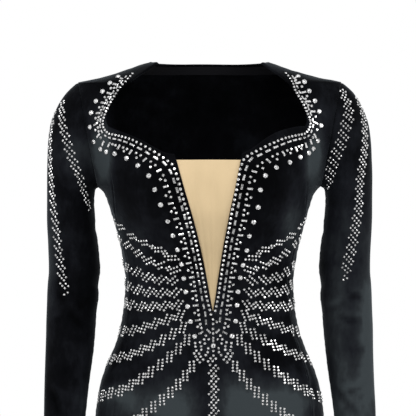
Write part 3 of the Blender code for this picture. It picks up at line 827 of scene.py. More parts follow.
# Line of baguettes outside it, with their length and width
BaguettePlace = namedtuple("BaguettePlace", "out height pitch length width")
BAGUETTE_LINE = tabled(
    BaguettePlace,
    (120, -9, 8.8, 5.6, 2.2), (129.5, -24.2, 8.8, 5.8, 2.3), (138.3, -40.0, 8.8, 5.8, 2.4),
    (147.1, -56.6, 8.9, 6.0, 2.5), (150.6, -66, 8.8, 6.0, 2.5), (152.6, -75, 8.6, 6.0, 2.6),
    (151.7, -83, 8.4, 5.8, 2.6), (148.9, -90, 7.6, 5.2, 2.7), (144.4, -94.8, 6.6, 4.6, 2.8),
    (139.7, -96.9, 6.8, 4.8, 2.8), (133, -98.4, 7.6, 5.8, 2.8), (125.5, -100.2, 8.2, 6.4, 2.8),
    (117.6, -102.9, 10.0, 7.2, 2.9), (107.2, -107.5, 11.8, 7.8, 3.0), (96.9, -112.7, 12.8, 8.2, 3.1),
    (85.5, -119.4, 13.6, 8.4, 3.2), (72.4, -127.7, 14.4, 8.5, 3.4), (60.5, -135.5, 14.2, 8.5, 3.4),
    (53.9, -146.7, 13.8, 8.5, 3.5), (49.5, -160.1, 13.85, 8.5, 3.5), (45.6, -173, 13.3, 8.5, 3.5),
    (42, -188, 12.9, 8.5, 3.5), (38, -204, 12.65, 8.5, 3.5), (29.5, -242, 11.9, 8.4, 3.4),
    (20.8, -290, 11.6, 8.2, 3.3), (15.2, -326, 11.3, 8.0, 3.2), (10.8, -348.5, 11.3, 7.8, 3.2),
    (9.6, -366, 11.3, 7.6, 3.1))
# How much higher and further in both lines are on the wearer's left than on the right
LineShift = namedtuple("LineShift", "out rise inward")
LEFT_SHIFTS = tabled(
    LineShift,
    (0, 0, 0.8), (23, 0, 1.6), (37, 0, 3.0), (46, 1, 3.6), (52, 6, 3.0), (57, 8, 1.0), (72, 5.5, 0),
    (83, 4, 0), (96, 2.4, 0), (110, 0.8, 0), (125, 0, 0))
BAGUETTE_INWARD = 0.3
# Large stones outside both lines, and the crosswise baguette that each has beside it, on the wearer's right
# and left
LargeStone = namedtuple(
    "LargeStone",
    "right_out right_height rib_out rib_height left_out left_height left_rib_out left_rib_height")
LARGE_STONES = tabled(
    LargeStone,
    (131, -8.6, 126, -11.5, 127.9, -8.2, 123.5, -10.5),
    (141.1, -18.1, 132.7, -19.8, 137.6, -16.3, 128.6, -17.7),
    (149.2, -30, 139.4, -32.9, 147.3, -29.5, 139, -31.3),
    (158.5, -44.1, 147.9, -46.4, 155.4, -43.7, 145.7, -44.5),
    (165.4, -60.7, 154.9, -61.2, 161.3, -59, 152.1, -58.9),
    (167, -81.2, 158.6, -76.9, 163.9, -79.2, 156.2, -75.5),
    (162.5, -102.5, 155.4, -93.6, 158.2, -101.2, 154.7, -94.3),
    (153.4, -113, 149.4, -105, 150.8, -112.6, 148, -103),
    (145.4, -117, 140.6, -106.9, 143.6, -118.8, 140, -107.6),
    (133.4, -119.9, 127.1, -110.5, 130.8, -124.7, 125.5, -113.5),
    (116.6, -126.5, 110.5, -117.6, 115.4, -132.4, 107.1, -119.7),
    (100.6, -137, 90.6, -128.7, 95.5, -139.7, 84.7, -130.2),
    (85.5, -151.7, 70.7, -144.3, 79.4, -151.5, 63.8, -145.7),
    (77.6, -171.3, 62, -167, 71.6, -171.6, 57.1, -170.2),
    (70.2, -192.9, 55.9, -190.8, 67.4, -196.4, 52.1, -193.5),
    (61.1, -216.1, 48.9, -212.5, 60.2, -217.1, 47, -215.2),
    (54.7, -236.4, 42.8, -234.5, 53.7, -236.9, 40.9, -235.8),
    (48.8, -256.8, 38.2, -254.8, 49.6, -257.5, 35.5, -255.4),
    (43.6, -277.4, 33.4, -275.5, 43.9, -278.6, 31.7, -276.3),
    (40.9, -297.6, 29.5, -296, 39.7, -296.6, 28.2, -296.2),
    (38.4, -316.7, 27, -315.5, 36.1, -316.5, 25.3, -316),
    (36, -337.3, 24.5, -335.9, 34.5, -335.4, 23, -335.8),
    (32.1, -358.9, 21.8, -356.8, 32.1, -358.2, 21.1, -355.4),
    (26.3, -379.8, 17.4, -374.6, 26.9, -379.6, 16.8, -374.6))
CLEAR_LINE_TOP = -158.0
CLEAR_RIB_TOP = -345.0
# Length, width and height of the stones that are all of one size
ROUND_SIZE = (SMALL_STONE, SMALL_STONE, SMALL_HEIGHT)
TRIO_SIZE = (TRIO_STONE, TRIO_STONE, SMALL_HEIGHT)
LARGE_SIZE = (LARGE_STONE, LARGE_STONE, LARGE_HEIGHT)
RIB_SIZE = (8.2, 3.2, BAGUETTE_HEIGHT)
# Three small stones between each two ribs, two of them inside and one outside, as shares of the ribs' gap
TRIO_LEAST_GAP = 11.0
TRIO_SPREAD = 0.16
TRIO_INSIDE = 0.12
TRIO_OUTSIDE = 0.135

# Stones under the plunge's tip, the same on both sides
TipStone = namedtuple("TipStone", "out height turn", defaults=(0,))
TIP_ROUNDS = tabled(
    TipStone,
    (0, -355.6), (0, -362.1), (0, -369.2), (0, -375.5), (10.4, -378.6), (12.8, -383.9), (6.4, -383.9),
    (7.3, -396.5), (8.0, -402.1), (10.9, -406.2), (0, -400.4), (11.9, -389.9), (18.8, -388.1),
    (25.8, -389.3), (17.3, -393.8), (25.4, -394.3), (17.1, -398.6), (24.0, -399.9), (27.3, -403.9),
    (20.3, -404.1), (24.9, -408.3), (18.1, -408.5), (22.8, -412.6), (14.8, -412.6), (19.5, -416.4))
TIP_BAGUETTES = tabled(TipStone, (6.4, -372.4, 45), (0, -384.3, 90))
TIP_LARGE = tabled(TipStone, (0, -393))
# Small stones that lead from there into the band down the centre front, which isn't the same on both sides
LeadStone = namedtuple("LeadStone", "out height")
LEAD_STONES = tabled(
    LeadStone,
    (5.4, -359.2), (0, -407.1), (-3.9, -410.8), (3.3, -411.2), (-7.6, -415.1), (-1.2, -414.8),
    (-4.9, -420.2))

# A band is laid in pairs of short rows of stones: a row's angle below the horizontal as it runs outwards, how
# far out and up the pair's second row lies from its first, the stones' pitch, the repeat of the pairs, and
# the stones' size
Rows = namedtuple("Rows", "angle pair_out pair_up pitch repeat size", defaults=(BAND_STONE,))
# Bands that fan out from the ribs round to the side seam: where each starts, its height at the start, at
# each quarter of the way and at the side, and its rows
Band = namedtuple("Band", "inner start quarter half three_quarters side rows")
BANDS = [
    Band(51, -273, -260, -249.5, -239.5, -212, Rows(3, 4.2, 5.6, 5.3, 21)),
    Band(47.5, -289, -281, -275, -261, -236, Rows(19, 4.2, 4.8, 5.0, 19.5)),
    Band(47.5, -300.5, -300.5, -298.5, -292, -273, Rows(39, 7.0, 2.4, 5.0, 20.5)),
    Band(45.5, -317.5, -318.5, -318, -316, -302, Rows(47, 7.0, 1.6, 4.9, 20.4)),
    Band(42.5, -334.5, -336.5, -338, -338.5, -331, Rows(53, 6.8, 1.0, 4.8, 19.3)),
    Band(39.5, -347.5, -355, -362.5, -371, -378, Rows(68, 6.6, 0.8, 4.7, 19.2)),
    Band(36.5, -363, -378, -392.5, -406, -421, Rows(76, 6.2, 0.3, 4.6, 17.1)),
    Band(32, -379, -406, -432, -455, -475, Rows(87, 6.4, -0.8, 4.5, 17.1)),
    Band(26, -416, -457, -487, -515, -545, Rows(92, 6.0, -0.8, 4.4, 15.9)),
]
BAND_START = 8.0
TAPER_START = 2.0
TAPER_STONES = 2
BAND_END_SHARE = 0.985
BAND_STRETCH = 0.6
BAND_SAMPLES = 160
CENTRE_ROWS = Rows(131, 3.6, -4.2, 4.85, 15.0)
RIGHT_SLEEVE_ROWS = Rows(137, 3.6, -4.8, 5.0, 13.2, 3.6)
LEFT_SLEEVE_ROWS = Rows(45, -3.3, -4.0, 5.0, 14.2, 3.4)
ROW_STONES = 4
LINK_STONES = 2
LINK_FACING = 0.6
CENTRE_TOP = -420.5
CENTRE_BOTTOM = -620.0

# Bands down the front and the outside of each sleeve, as seen from the front
SleevePlace = namedtuple("SleevePlace", "out height")
RIGHT_FRONT_BAND = tabled(
    SleevePlace,
    (-212, -45), (-213, -59), (-212, -74), (-209, -87), (-205, -100), (-202, -111), (-199, -121),
    (-195, -132), (-186.5, -151), (-179, -178), (-173, -199))
RIGHT_OUTER_BAND = tabled(
    SleevePlace,
    (-223, -59), (-229, -85), (-230, -107), (-230, -128), (-229, -143), (-227.5, -164), (-226, -186),
    (-224, -207), (-221, -226), (-217.5, -260), (-214.6, -280), (-212.5, -295), (-209, -312),
    (-204.6, -332))
LEFT_FRONT_BAND = tabled(
    SleevePlace,
    (193, -28), (197, -42), (201, -61), (197, -74), (190, -100), (180, -125), (173, -150), (170, -176))
LEFT_OUTER_BAND = tabled(
    SleevePlace,
    (213, -38), (219, -54), (223, -71), (224, -100), (220, -135), (216, -164), (215, -197), (212, -212),
    (207, -240), (202, -266), (197, -279), (193, -306))

Seat = namedtuple("Seat", "place normal along length width height")


def select_faces(piece, chosen):
    """Selects the faces that a test chooses. The piece is in edit mode."""
    bpy.ops.mesh.select_mode(type="FACE")
    bpy.ops.mesh.select_all(action="DESELECT")
    mesh = bmesh.from_edit_mesh(piece.data)
    for face in mesh.faces:
        if chosen(face):
            face.select_set(True)
    bmesh.update_edit_mesh(piece.data)


def cut_stone(operator, name, girdle, steps, turn, **options):
    """A stone of unit size with a flat back, a girdle, and steps that are raised and drawn in."""
    stone = add_piece(operator, name, **options)
    bpy.ops.object.mode_set(mode="EDIT")
    bpy.ops.transform.translate(value=(0, 0, 0.5))
    bpy.ops.transform.resize(value=(1, 1, girdle), center_override=(0, 0, 0))
    for rise, along, across in steps:
        select_faces(stone, lambda face: face.normal.z > FACES_OUT)
        bpy.ops.mesh.extrude_region_move(TRANSFORM_OT_translate={"value": (0, 0, rise)})
        bpy.ops.transform.resize(value=(along, across, 1), center_override=(0, 0, 0))
        if turn:
            bpy.ops.transform.rotate(value=turn, orient_axis="Z", center_override=(0, 0, 0))
    bpy.ops.object.mode_set(mode="OBJECT")
    return stone


def round_stone(name, facets, steps):
    """A round stone, each of whose steps is turned by half a facet."""
    return cut_stone(bpy.ops.mesh.primitive_cylinder_add, name, ROUND_GIRDLE, steps, math.pi / facets,
                     vertices=facets, radius=0.5, depth=1)


def set_copies(name, stone, seats, chance, tilt=STONE_TILT):
    """One piece of copies of a stone or a stitch, each laid flat on its seat and very slightly tipped."""
    pattern = np.array([vertex.co for vertex in stone.data.vertices])
    sides = [np.array(face.vertices) for face in stone.data.polygons]
    points, faces = [], []
    for i, seat in enumerate(seats):
        tip = np.tan(np.radians(chance.uniform(-tilt, tilt, 3)))
        up = unit(seat.normal + TILT_SHARE * tip)
        along = unit(seat.along - up * (seat.along @ up))
        axes = np.stack((along, np.cross(up, along), up))
        shape = pattern * np.array((seat.length, seat.width, seat.height))
        points.append(seat.place - seat.normal * STONE_SINK + shape @ axes)
        faces += [(side + i * len(pattern)).tolist() for side in sides]
    mesh = bpy.data.meshes.new(name)
    mesh.from_pydata((np.concatenate(points) * MM).tolist(), [], faces)
    mesh.update()
    piece = bpy.data.objects.new(name, mesh)
    bpy.context.collection.objects.link(piece)
    return piece


def seen_from_front(tree, x, height):
    """The place and facing on the cloth at a point seen from the front, or None beside it."""
    place, normal = tree.ray_cast(Vector((x * MM, -1, height * MM)), Vector((0, 1, 0)))[:2]
    if place is None:
        return None
    normal = np.array(normal)
    return np.array(place) / MM, -normal if normal[1] > 0 else normal


def nearest(tree, point):
    """The place on the cloth nearest to a point, and its facing."""
    hit = tree.find_nearest(Vector(point * MM))
    return np.array(hit[0]) / MM, np.array(hit[1])


def run_of(points):
    """How far along a line each of its points is."""
    return np.concatenate(([0], np.cumsum(np.linalg.norm(np.diff(points, axis=0), axis=1))))


def read_at(place, run, values):
    """What the columns of some values are at a place along their run."""
    return np.array([np.interp(place, run, column) for column in values.T])


def walk(rows):
    """Rows of a table's values along its line, each one pitch after the last."""
    values = np.array(rows, float)
    run = run_of(values[:, :2])
    places = [0.0]
    while places[-1] < run[-1]:
        places.append(places[-1] + np.interp(places[-1], run, values[:, 2]))
    return read_at(places[:-1], run, values).T


def front_seat(tree, out, height, direction, length, width, tall):
    """A seat on the front of the gown, at a distance from its leaning centre."""
    found = seen_from_front(tree, out + front_lean(height), height)
    if found is None:
        return None
    place, normal = found
    sink = (normal[0] * direction[0] + normal[2] * direction[1]) / min(normal[1], -STEEPEST)
    return Seat(place, normal, np.array((direction[0], -sink, direction[1])), length, width, tall)


def shifted(rows, side, inward=1.0):
    """A line's rows as they are on this side."""
    if side < 0:
        return rows
    rise, draw = (line_through(LEFT_SHIFTS, "out", name) for name in ("rise", "inward"))
    return [row._replace(out=row.out - inward * draw(row.out), height=row.height + rise(row.out))
            for row in rows]


def trim_seats(tree, side):
    """Seats of the trim beside one side of the neckline and the plunge: round, baguette and large."""
    rounds, baguettes, larges, heads, ribs = [], [], [], [], []
    for out, height, pitch, size in walk(shifted(ROUND_LINE, side)):
        rounds.append(front_seat(tree, side * out, height, ACROSS, size, size, SMALL_HEIGHT))
    line = walk(shifted(BAGUETTE_LINE, side, BAGUETTE_INWARD))
    for (out, height, pitch, length, width), way in zip(line, np.gradient(line[:, :2], axis=0)):
        way = (side * way[0], way[1])
        baguettes.append(front_seat(tree, side * out, height, way, length, width, BAGUETTE_HEIGHT))
    for stone in LARGE_STONES:
        head, rib = np.split(np.array(stone[:4] if side < 0 else stone[4:]), 2)
        way = (head - rib) * np.array((side, 1))
        larges.append(front_seat(tree, side * head[0], head[1], ACROSS, *LARGE_SIZE))
        baguettes.append(front_seat(tree, side * rib[0], rib[1], way, *RIB_SIZE))
        heads.append(head)
        ribs.append(rib)
    for first, second, head, following in zip(ribs, ribs[1:], heads, heads[1:]):
        if np.hypot(*(following - head)) < TRIO_LEAST_GAP:
            continue
        along = second - first
        gap = np.hypot(*along)
        away = (head + following - first - second) / 2
        away -= along * (away @ along) / gap ** 2
        away *= gap / np.hypot(*away)
        middle = (first + second) / 2
        for place in (middle + along * TRIO_SPREAD - away * TRIO_INSIDE,
                      middle - along * TRIO_SPREAD - away * TRIO_INSIDE,
                      middle + away * TRIO_OUTSIDE):
            rounds.append(front_seat(tree, side * place[0], place[1], ACROSS, *TRIO_SIZE))
    return rounds, baguettes, larges


def tip_seats(tree):
    """Seats of the stones under the plunge's tip: round, baguette and large."""
    kinds = []
    for stones, size in ((TIP_ROUNDS, ROUND_SIZE), (TIP_BAGUETTES, RIB_SIZE), (TIP_LARGE, LARGE_SIZE)):
        seats = []
        for stone in stones:
            turn = math.radians(stone.turn)
            for side in ((-1, 1) if stone.out else (1,)):
                way = (side * math.cos(turn), math.sin(turn))
                seats.append(front_seat(tree, side * stone.out, stone.height, way, *size))
        kinds.append(seats)
    kinds[0] += [front_seat(tree, *stone, ACROSS, *ROUND_SIZE) for stone in LEAD_STONES]
    return kinds


def band_line(band, side):
    """Points along a band on the form, from its start to the side seam."""
    share = np.linspace(0, BAND_END_SHARE, BAND_SAMPLES)
    height = smooth_line(np.linspace(0, 1, 5), band[1:6])(share)
    out = band.inner + share * (half_width(height) - band.inner)
    return form_point(side * angle_at(out, height), height)


def front_line(tree, places):
    """Points along a line that is given as it is seen from the front."""
    values = np.array(places, float)
    run = run_of(values)
    even = np.linspace(0, run[-1], BAND_SAMPLES)
    x, height = (smooth_line(run, column)(even) for column in values.T)
    found = [seen_from_front(tree, *place) for place in zip(x, height)]
    return np.array([hit[0] for hit in found if hit is not None])


def on_cloth(tree, place, out, up):
    """The spot this far out and up from a place as it is measured on the cloth, and the normal there."""
    normal = nearest(tree, place)[1]
    across = unit(np.cross((0, 0, 1), normal))
    return nearest(tree, place + out * across + up * np.cross(normal, across))


def row_seats(tree, centre, side, rows, half, count):
    """Seats of one row, on the inner or the outer half of its pair, or in the middle."""
    angle = math.radians(rows.angle)
    seats = []
    for k in range(count):
        place = (k - (count - 1) / 2) * rows.pitch
        out = half * rows.pair_out + place * math.cos(angle)
        up = half * rows.pair_up - place * math.sin(angle)
        found, normal = on_cloth(tree, centre, side * out, up)
        seats.append(Seat(found, normal, UPRIGHT, rows.size, rows.size, SMALL_HEIGHT))
    return seats


def band_seats(tree, line, side, rows, links=0, stretch=0, taper_start=False, taper_end=False):
    """Seats of a band of small round stones: pairs of short rows at one angle, with links between them."""
    run = run_of(line)
    starts, facings = [TAPER_START if taper_start else BAND_START], []
    while starts[-1] < run[-1]:
        facings.append(abs(nearest(tree, read_at(starts[-1], run, line))[1][1]))
        starts.append(starts[-1] + rows.repeat * (1 + stretch * (1 - facings[-1])))
    row_total = 2 * (len(starts) - 1)
    seats = []
    for j in range(row_total):
        start, following = starts[j // 2], starts[j // 2 + 1]
        count = ROW_STONES
        if taper_start:
            count = min(count, TAPER_STONES + j)
        if taper_end:
            count = min(count, row_total - j)
        seats += row_seats(tree, read_at(start, run, line), side, rows, j % 2 - 0.5, count)
        if j % 2 and following < run[-1] and facings[j // 2] > LINK_FACING:
            centre = read_at((start + following) / 2, run, line)
            seats += row_seats(tree, centre, side, rows, 0, links)
    return seats


def clear(seat):
    """Whether a baguette is one of the clear grey ones beside the lower plunge."""
    upright = abs(seat.along[2]) > abs(seat.along[0])
    return seat.place[2] < (CLEAR_LINE_TOP if upright else CLEAR_RIB_TOP)


def spaced(*groups):
    """The seats of each group that stand clear of all the seats before them."""
    places, reaches, kept_groups = [], [], []
    for seats in groups:
        kept = []
        for seat in seats:
            if seat is None:
                continue
            reach = min(seat.length, seat.width) / 2
            if places:
                gaps = np.linalg.norm(np.array(places) - seat.place, axis=1)
                if np.any(gaps < np.array(reaches) + reach):
                    continue
            ends = (-1, 0, 1) if seat.length > LONG_STONE * seat.width else (0,)
            for end in ends:
                places.append(seat.place + unit(seat.along) * end * (seat.length / 2 - reach))
                reaches.append(reach)
            kept.append(seat)
        kept_groups.append(kept)
    return kept_groups


# Finishes
VELVET_SHEEN = (0.62, 0.72, 0.80, 1)
# Tones of the velvet along its scale; the pale end has the cool tint of painted sheen
VELVET_TONES = (
    (0.0, (0.0006, 0.0007, 0.0010, 1)),
    (0.25, (0.0019, 0.0021, 0.0029, 1)),
    (0.5, (0.0062, 0.0070, 0.0092, 1)),
    (0.75, (0.0140, 0.0165, 0.0190, 1)),
    (1.0, (0.0290, 0.0355, 0.0390, 1)),
)
VELVET_TONE = 0.27
MESH_TONES = ((0.0, (0.40, 0.30, 0.166, 1)), (1.0, (0.60, 0.455, 0.268, 1)))
MESH_TONE = 0.8
THREAD_BLACK = (0.006, 0.006, 0.008, 1)
YARN_TURN = 0.6


class Finish:
    """A material of Principled finish, built node by node."""

    def __init__(self, name):
        self.material = bpy.data.materials.new(name)
        self.material.use_nodes = True
        self.nodes = self.material.node_tree.nodes
        self.places = self.nodes.new("ShaderNodeTexCoord")

    def feed(self, node, inputs):
        """Sets each of a node's inputs to a value, or links it to another node's output."""
        for name, value in inputs.items():
            socket = node.inputs[name.replace("_", " ") if isinstance(name, str) else name]
            if isinstance(value, bpy.types.NodeSocket):
                self.material.node_tree.links.new(value, socket)
            else:
                socket.default_value = value
        return node

    def add(self, kind, **inputs):
        return self.feed(self.nodes.new("ShaderNode" + kind), inputs)

    def set(self, **inputs):
        self.feed(self.nodes["Principled BSDF"], inputs)

    def noise(self, scale, detail=2.0, roughness=0.5, where="Object", stretch=(1, 1, 1)):
        """A noise value. The scale counts waves to the metre."""
        place = self.add("Mapping", Vector=self.places.outputs[where], Scale=stretch).outputs["Vector"]
        noise = self.add("TexNoise", Vector=place, Scale=scale, Detail=detail, Roughness=roughness)
        return noise.outputs["Fac"]

    def ramp(self, value, *stops):
        """Colours along a value, from pairs of a place and a colour."""
        ramp = self.add("ValToRGB", Fac=value)
        while len(ramp.color_ramp.elements) < len(stops):
            ramp.color_ramp.elements.new(0.5)
        for element, (place, colour) in zip(ramp.color_ramp.elements, stops):
            element.position = place
            element.color = colour
        return ramp.outputs["Color"]

    def painted_light(self):
        """Painted sheen and shade, laid down with the cloth: how much paler or deeper each place is painted.
        """
        painted_light = self.add("Attribute")
        painted_light.attribute_name = "painted_light"
        return painted_light.outputs["Fac"]

    def total(self, start, *parts):
        """A start and shares of some values, each of them measured from its own middle."""
        total = start - sum(share * middle for value, share, middle in parts)
        for value, share, middle in parts:
            add = self.nodes.new("ShaderNodeMath")
            add.operation = "MULTIPLY_ADD"
            self.feed(add, {0: value, 1: share, 2: total})
            total = add.outputs["Value"]
        return total

    def bump(self, value, strength, distance, **inputs):
        bump = self.add("Bump", Height=value, Strength=strength, Distance=distance, **inputs)
        return bump.outputs["Normal"]


def grey(value):
    return (value, value, value, 1)


def velvet_finish():
    """Black velvet: a deep pile whose tone differs a little at random, with painted sheen and shade laid in
    patches and creases, and a cool sheen.
    """
    velvet = Finish("black_velvet")
    broad = velvet.noise(5)
    crush = velvet.noise(14, detail=4, roughness=0.6)
    pile = velvet.noise(130, detail=3, roughness=0.6, stretch=(1, 1, 0.45))
    nap = velvet.noise(1400, roughness=0.6)
    parts = (velvet.painted_light(), 1.0, 0.0), (broad, 0.4, 0.5), (crush, 1.0, 0.5), (pile, 0.35, 0.5)
    # Tone: the painted sheen and shade, with noise that differs at random
    tone = velvet.total(VELVET_TONE, *parts)
    normal = velvet.bump(crush, strength=0.4, distance=0.004)
    normal = velvet.bump(pile, strength=0.25, distance=0.0012, Normal=normal)
    velvet.set(Base_Color=velvet.ramp(tone, *VELVET_TONES),
               Roughness=velvet.ramp(tone, (0.0, grey(0.95)), (1.0, grey(0.7))),
               Normal=velvet.bump(nap, strength=0.35, distance=0.0003, Normal=normal),
               Sheen_Weight=0.15, Sheen_Roughness=0.27, Sheen_Tint=VELVET_SHEEN, Specular_IOR_Level=0.03)
    return velvet.material


def mesh_finish():
    """Tan stretch mesh: a fine net of yarns, paler on their crowns."""
    net = Finish("nude_mesh")
    stretch = net.noise(18, where="UV", stretch=(1.6, 0.6, 1))
    heights = []
    for turn in (YARN_TURN, -YARN_TURN):
        place = net.add("Mapping", Vector=net.places.outputs["UV"], Rotation=(0, 0, turn)).outputs["Vector"]
        wave = net.add("TexWave", Vector=place, Scale=260, Distortion=0.6, Detail=1)
        heights.append((wave.outputs["Fac"], 1.0, 0.0))
    yarns = net.total(0.0, *heights)
    # The tone adds the insert's painted shade and highlight to its streaks and yarns
    tone = net.total(MESH_TONE, (net.painted_light(), 1.0, 0.0), (stretch, 0.6, 0.5), (yarns, 0.16, 1.0))
    normal = net.bump(stretch, strength=0.15, distance=0.002)
    normal = net.bump(yarns, strength=0.4, distance=0.0004, Normal=normal)
    net.set(Base_Color=net.ramp(tone, *MESH_TONES), Normal=normal,
            Roughness=0.62, Sheen_Weight=0.12, Sheen_Roughness=0.5, Specular_IOR_Level=0.3)
    return net.material


def stone_finish(name, *tones):
    """Foil-backed glass stones: sharp, with facets painted from dark grey to white as painted reflections,
    some darker than others.
    """
    stone = Finish(name)
    # Painted reflections: facet tones that differ at random from dark grey to white
    painted_facet_glints = stone.ramp(stone.noise(620, detail=1), *((place, grey(tone)) for place, tone in tones))
    wear = stone.ramp(stone.noise(900, detail=1), (0.3, grey(0.04)), (0.8, grey(0.16)))
    stone.set(Base_Color=painted_facet_glints, Roughness=wear, Metallic=0.9,
              Coat_Weight=0.6, Coat_Roughness=0.03, Coat_IOR=1.5)
    return stone.material


def thread_finish():
    """Black sewing thread and tape, with a fine twill."""
    thread = Finish("black_thread")
    twist = thread.noise(900, stretch=(1, 1, 2.5))
    twill = thread.bump(twist, strength=0.4, distance=0.0004)
    thread.set(Base_Color=THREAD_BLACK, Normal=twill, Roughness=0.9,
               Sheen_Weight=0.03, Sheen_Roughness=0.4, Specular_IOR_Level=0.15)
    return thread.material


def floor_finish():
    floor = Finish("pale_floor")
    floor.set(Base_Color=floor.ramp(floor.noise(3), (0.2, grey(0.90)), (0.9, grey(0.93))), Roughness=0.85)
    return floor.material


# Stitches of the hem and the cuffs, and the tape that faces the back of the neck
STITCH_LENGTH = 2.6
STITCH_PITCH = 4.0
STITCH_THICKNESS = 0.5
STITCH_TILT = 3.0
STITCH_SAMPLES = 721
STITCH_SIDES = 5
STITCH_TAIL = 0.12
STITCH_DIP = 0.4
STITCH_TAPER = 0.6
TAPE_WALL = 0.5
TAPE_DEPTH = 1.6
TAPE_LOW = -2.0
TAPE_HIGH = 12.0


def model_stitch(name):
    """One stitch of unit length that dips into the cloth at both ends."""
    stitch = add_piece(bpy.ops.mesh.primitive_cylinder_add, name,
                       vertices=STITCH_SIDES, radius=0.5, depth=1, rotation=(0, math.pi / 2, 0))
    bpy.ops.object.transform_apply(location=False, rotation=True, scale=False)
    bpy.ops.object.mode_set(mode="EDIT")
    for end in (-1, 1):
        select_faces(stitch, lambda face: face.normal.x * end > FACES_OUT)
        move = (STITCH_TAIL * end, 0, -STITCH_DIP)
        bpy.ops.mesh.extrude_region_move(TRANSFORM_OT_translate={"value": move})
        bpy.ops.transform.resize(value=(1, STITCH_TAPER, STITCH_TAPER))
    bpy.ops.object.mode_set(mode="OBJECT")
    return stitch


def stitch_row(tree, line):
    """Seats of stitches along a line of points."""
    run = run_of(line)
    ways = np.gradient(line, axis=0)
    seats = []
    for along in np.arange(STITCH_PITCH / 2, run[-1], STITCH_PITCH):
        place, normal = nearest(tree, read_at(along, run, line))
        way = read_at(along, run, ways)
        seats.append(Seat(place, normal, way, STITCH_LENGTH, STITCH_THICKNESS, STITCH_THICKNESS))
    return seats


def hem_line():
    """Points round the gown at the top of the hem's turned allowance."""
    return form_point(np.linspace(0, 360, STITCH_SAMPLES), HEM + HEM_TURN)


def cuff_line(side):
    """Points round a sleeve at the top of its cuff's turned allowance."""
    low, high = SLEEVE_RINGS[-1], SLEEVE_RINGS[-2]
    step = len(SLEEVE_RINGS) - 1 - CUFF_TURN / (high.inner_height - low.inner_height)
    return sleeve_point(np.linspace(0, 360, STITCH_SAMPLES), step) * np.array((side, 1, 1))


# Studio
CAMERA_PLACE = (-0.0022, -5.0, -0.1972)
CAMERA_HALF_VIEW = 0.3016
FLOOR_SIZE = 24.0
FLOOR_DROP = 0.0006
LIGHT_AIM = Vector((0, 0, -0.3))


def add_light(name, place, size, power):
    light = bpy.data.lights.new(name, "AREA")
    light.shape = "DISK"
    light.size = size
    light.energy = power
    lamp = bpy.data.objects.new(name, light)
    lamp.location = place
    lamp.rotation_euler = (LIGHT_AIM - Vector(place)).to_track_quat("-Z", "Y").to_euler()
    bpy.context.collection.objects.link(lamp)


def build_studio():
    world = bpy.data.worlds.new("white_studio")
    world.use_nodes = True
    sky = world.node_tree.nodes["Background"]
    sky.inputs["Color"].default_value = grey(1)
    sky.inputs["Strength"].default_value = 1.0
    bpy.context.scene.world = world
    add_light("key", (-1.0, -2.8, 2.4), size=1.6, power=52)
    add_light("side", (2.4, -1.6, 0.6), size=1.2, power=22)
    floor = add_piece(bpy.ops.mesh.primitive_plane_add, "floor",
                      size=FLOOR_SIZE, location=(0, 0, HEM * MM - FLOOR_DROP))
    bpy.ops.object.transform_apply(location=True)
    floor.data.materials.append(floor_finish())
    lens = bpy.data.cameras.new("camera")
    lens.angle = 2 * math.atan(CAMERA_HALF_VIEW / -CAMERA_PLACE[1])
    camera = bpy.data.objects.new("camera", lens)
    camera.location = CAMERA_PLACE
    camera.rotation_euler = (math.pi / 2, 0, 0)
    bpy.context.collection.objects.link(camera)
    bpy.context.scene.camera = camera
    bpy.context.scene.view_settings.view_transform = "Standard"


build_studio()
velvet = velvet_finish()
nude_mesh = mesh_finish()
# Painted reflections: the tones that the stones' facets are painted in
bright_stone = stone_finish("foiled_stone", (0.34, 0.10), (0.44, 0.42), (0.54, 0.72), (0.68, 0.86))
# Clear stones, painted darker grey: a painted dark reflection of the black velvet round them
clear_dark_reflection_stone = stone_finish("clear_dark_reflection_stone", (0.34, 0.10), (0.50, 0.28), (0.64, 0.60))
black_thread = thread_finish()

# Cloth
front_halves = [lay_cloth("front_half", front_half(side), VELVET_PAINTED_LIGHT) for side in (-1, 1)]
gown_front = join("gown_front", *front_halves)
side_left = lay_cloth("gown_side_left", side_front(1), VELVET_PAINTED_LIGHT)
side_right = lay_cloth("gown_side_right", side_front(-1), VELVET_PAINTED_LIGHT)
# The back gets the velvet's painted sheen and shade, weaker
back_painted_light = [patch._replace(shade=patch.shade * BACK_SHARE) for patch in VELVET_PAINTED_LIGHT]
gown_back = lay_cloth("gown_back", back_points(), back_painted_light)
left_points = sleeve_points(1, LEFT_SLEEVE_CREASES)
left_sleeve = join("left_sleeve", lay_cloth("left_sleeve", left_points, VELVET_PAINTED_LIGHT))
right_points = sleeve_points(-1, RIGHT_SLEEVE_CREASES)
right_sleeve = join("right_sleeve", lay_cloth("right_sleeve", right_points, VELVET_PAINTED_LIGHT))
insert = lay_cloth("mesh_insert", insert_points(), MESH_PAINTED_LIGHT)
neck_tape = lay_cloth("neck_tape", back_points(TAPE_LOW, TAPE_HIGH, TAPE_DEPTH), [])

body_tree = outer_tree(gown_front, side_left, side_right, gown_back)
left_tree = outer_tree(left_sleeve)
right_tree = outer_tree(right_sleeve)

# Stones
chance = np.random.default_rng(STONE_SEED)
small_stone = round_stone("small_stone", SMALL_FACETS, SMALL_STEPS)
large_stone = round_stone("large_stone", LARGE_FACETS, LARGE_STEPS)
baguette = cut_stone(bpy.ops.mesh.primitive_cube_add, "baguette", BAGUETTE_GIRDLE, BAGUETTE_STEPS, 0, size=1)
trim_round, trim_long, trim_large = tip_seats(body_tree)
for side in (-1, 1):
    rounds, baguettes, larges = trim_seats(body_tree, side)
    trim_round += rounds
    trim_long += baguettes
    trim_large += larges
heights = np.linspace(CENTRE_TOP, CENTRE_BOTTOM, BAND_SAMPLES)
centre_line = front_line(body_tree, np.stack((front_lean(heights), heights), axis=-1))
centre = band_seats(body_tree, centre_line, 1, CENTRE_ROWS, taper_end=True)
fan = []
for band in BANDS:
    for side in (-1, 1):
        fan += band_seats(body_tree, band_line(band, side), side, band.rows, LINK_STONES, BAND_STRETCH)
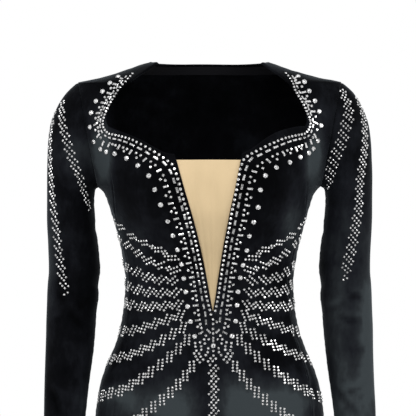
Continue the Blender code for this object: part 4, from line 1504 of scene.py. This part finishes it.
trim_large, trim_long, trim_round, centre, fan = spaced(trim_large, trim_long, trim_round, centre, fan)
sleeve_bands = []
for tree, side, rows, lines in (
        (right_tree, -1, RIGHT_SLEEVE_ROWS, (RIGHT_FRONT_BAND, RIGHT_OUTER_BAND)),
        (left_tree, 1, LEFT_SLEEVE_ROWS, (LEFT_FRONT_BAND, LEFT_OUTER_BAND))):
    seats = []
    for places in lines:
        seats += band_seats(tree, front_line(tree, places), side, rows, taper_start=True, taper_end=True)
    sleeve_bands += spaced(seats)
bright_long = [seat for seat in trim_long if not clear(seat)]
clear_long = [seat for seat in trim_long if clear(seat)]

for name, model, seats, finish in (
        ("trim_large_stones", large_stone, trim_large, bright_stone),
        ("trim_baguettes", baguette, bright_long, bright_stone),
        ("trim_round_stones", small_stone, trim_round, bright_stone),
        ("fan_stones", small_stone, centre + fan, bright_stone),
        ("right_sleeve_stones", small_stone, sleeve_bands[0], bright_stone),
        ("left_sleeve_stones", small_stone, sleeve_bands[1], bright_stone),
        ("clear_baguettes", baguette, clear_long, clear_dark_reflection_stone)):
    finish_piece(set_copies(name, model, seats, chance), finish)

# Stitches
stitch = model_stitch("stitch")
for name, tree, line in (
        ("hem_stitches", body_tree, hem_line()),
        ("left_cuff_stitches", left_tree, cuff_line(1)),
        ("right_cuff_stitches", right_tree, cuff_line(-1))):
    row = set_copies(name, stitch, stitch_row(tree, line), chance, STITCH_TILT)
    finish_piece(row, black_thread)
for model in (small_stone, large_stone, baguette, stitch):
    bpy.data.objects.remove(model)

# Thickness and finish of the cloth
for piece in (gown_front, side_left, side_right, gown_back, left_sleeve, right_sleeve):
    thicken(piece, VELVET_WALL)
    finish_piece(piece, velvet)
thicken(insert, INSERT_WALL)
finish_piece(insert, nude_mesh)
thicken(neck_tape, TAPE_WALL)
finish_piece(neck_tape, black_thread)

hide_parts("front")
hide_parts("side_front_left")
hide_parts("side_front_right")
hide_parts("back")
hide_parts("sleeve_left")
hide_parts("sleeve_right")
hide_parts("plunge_insert")
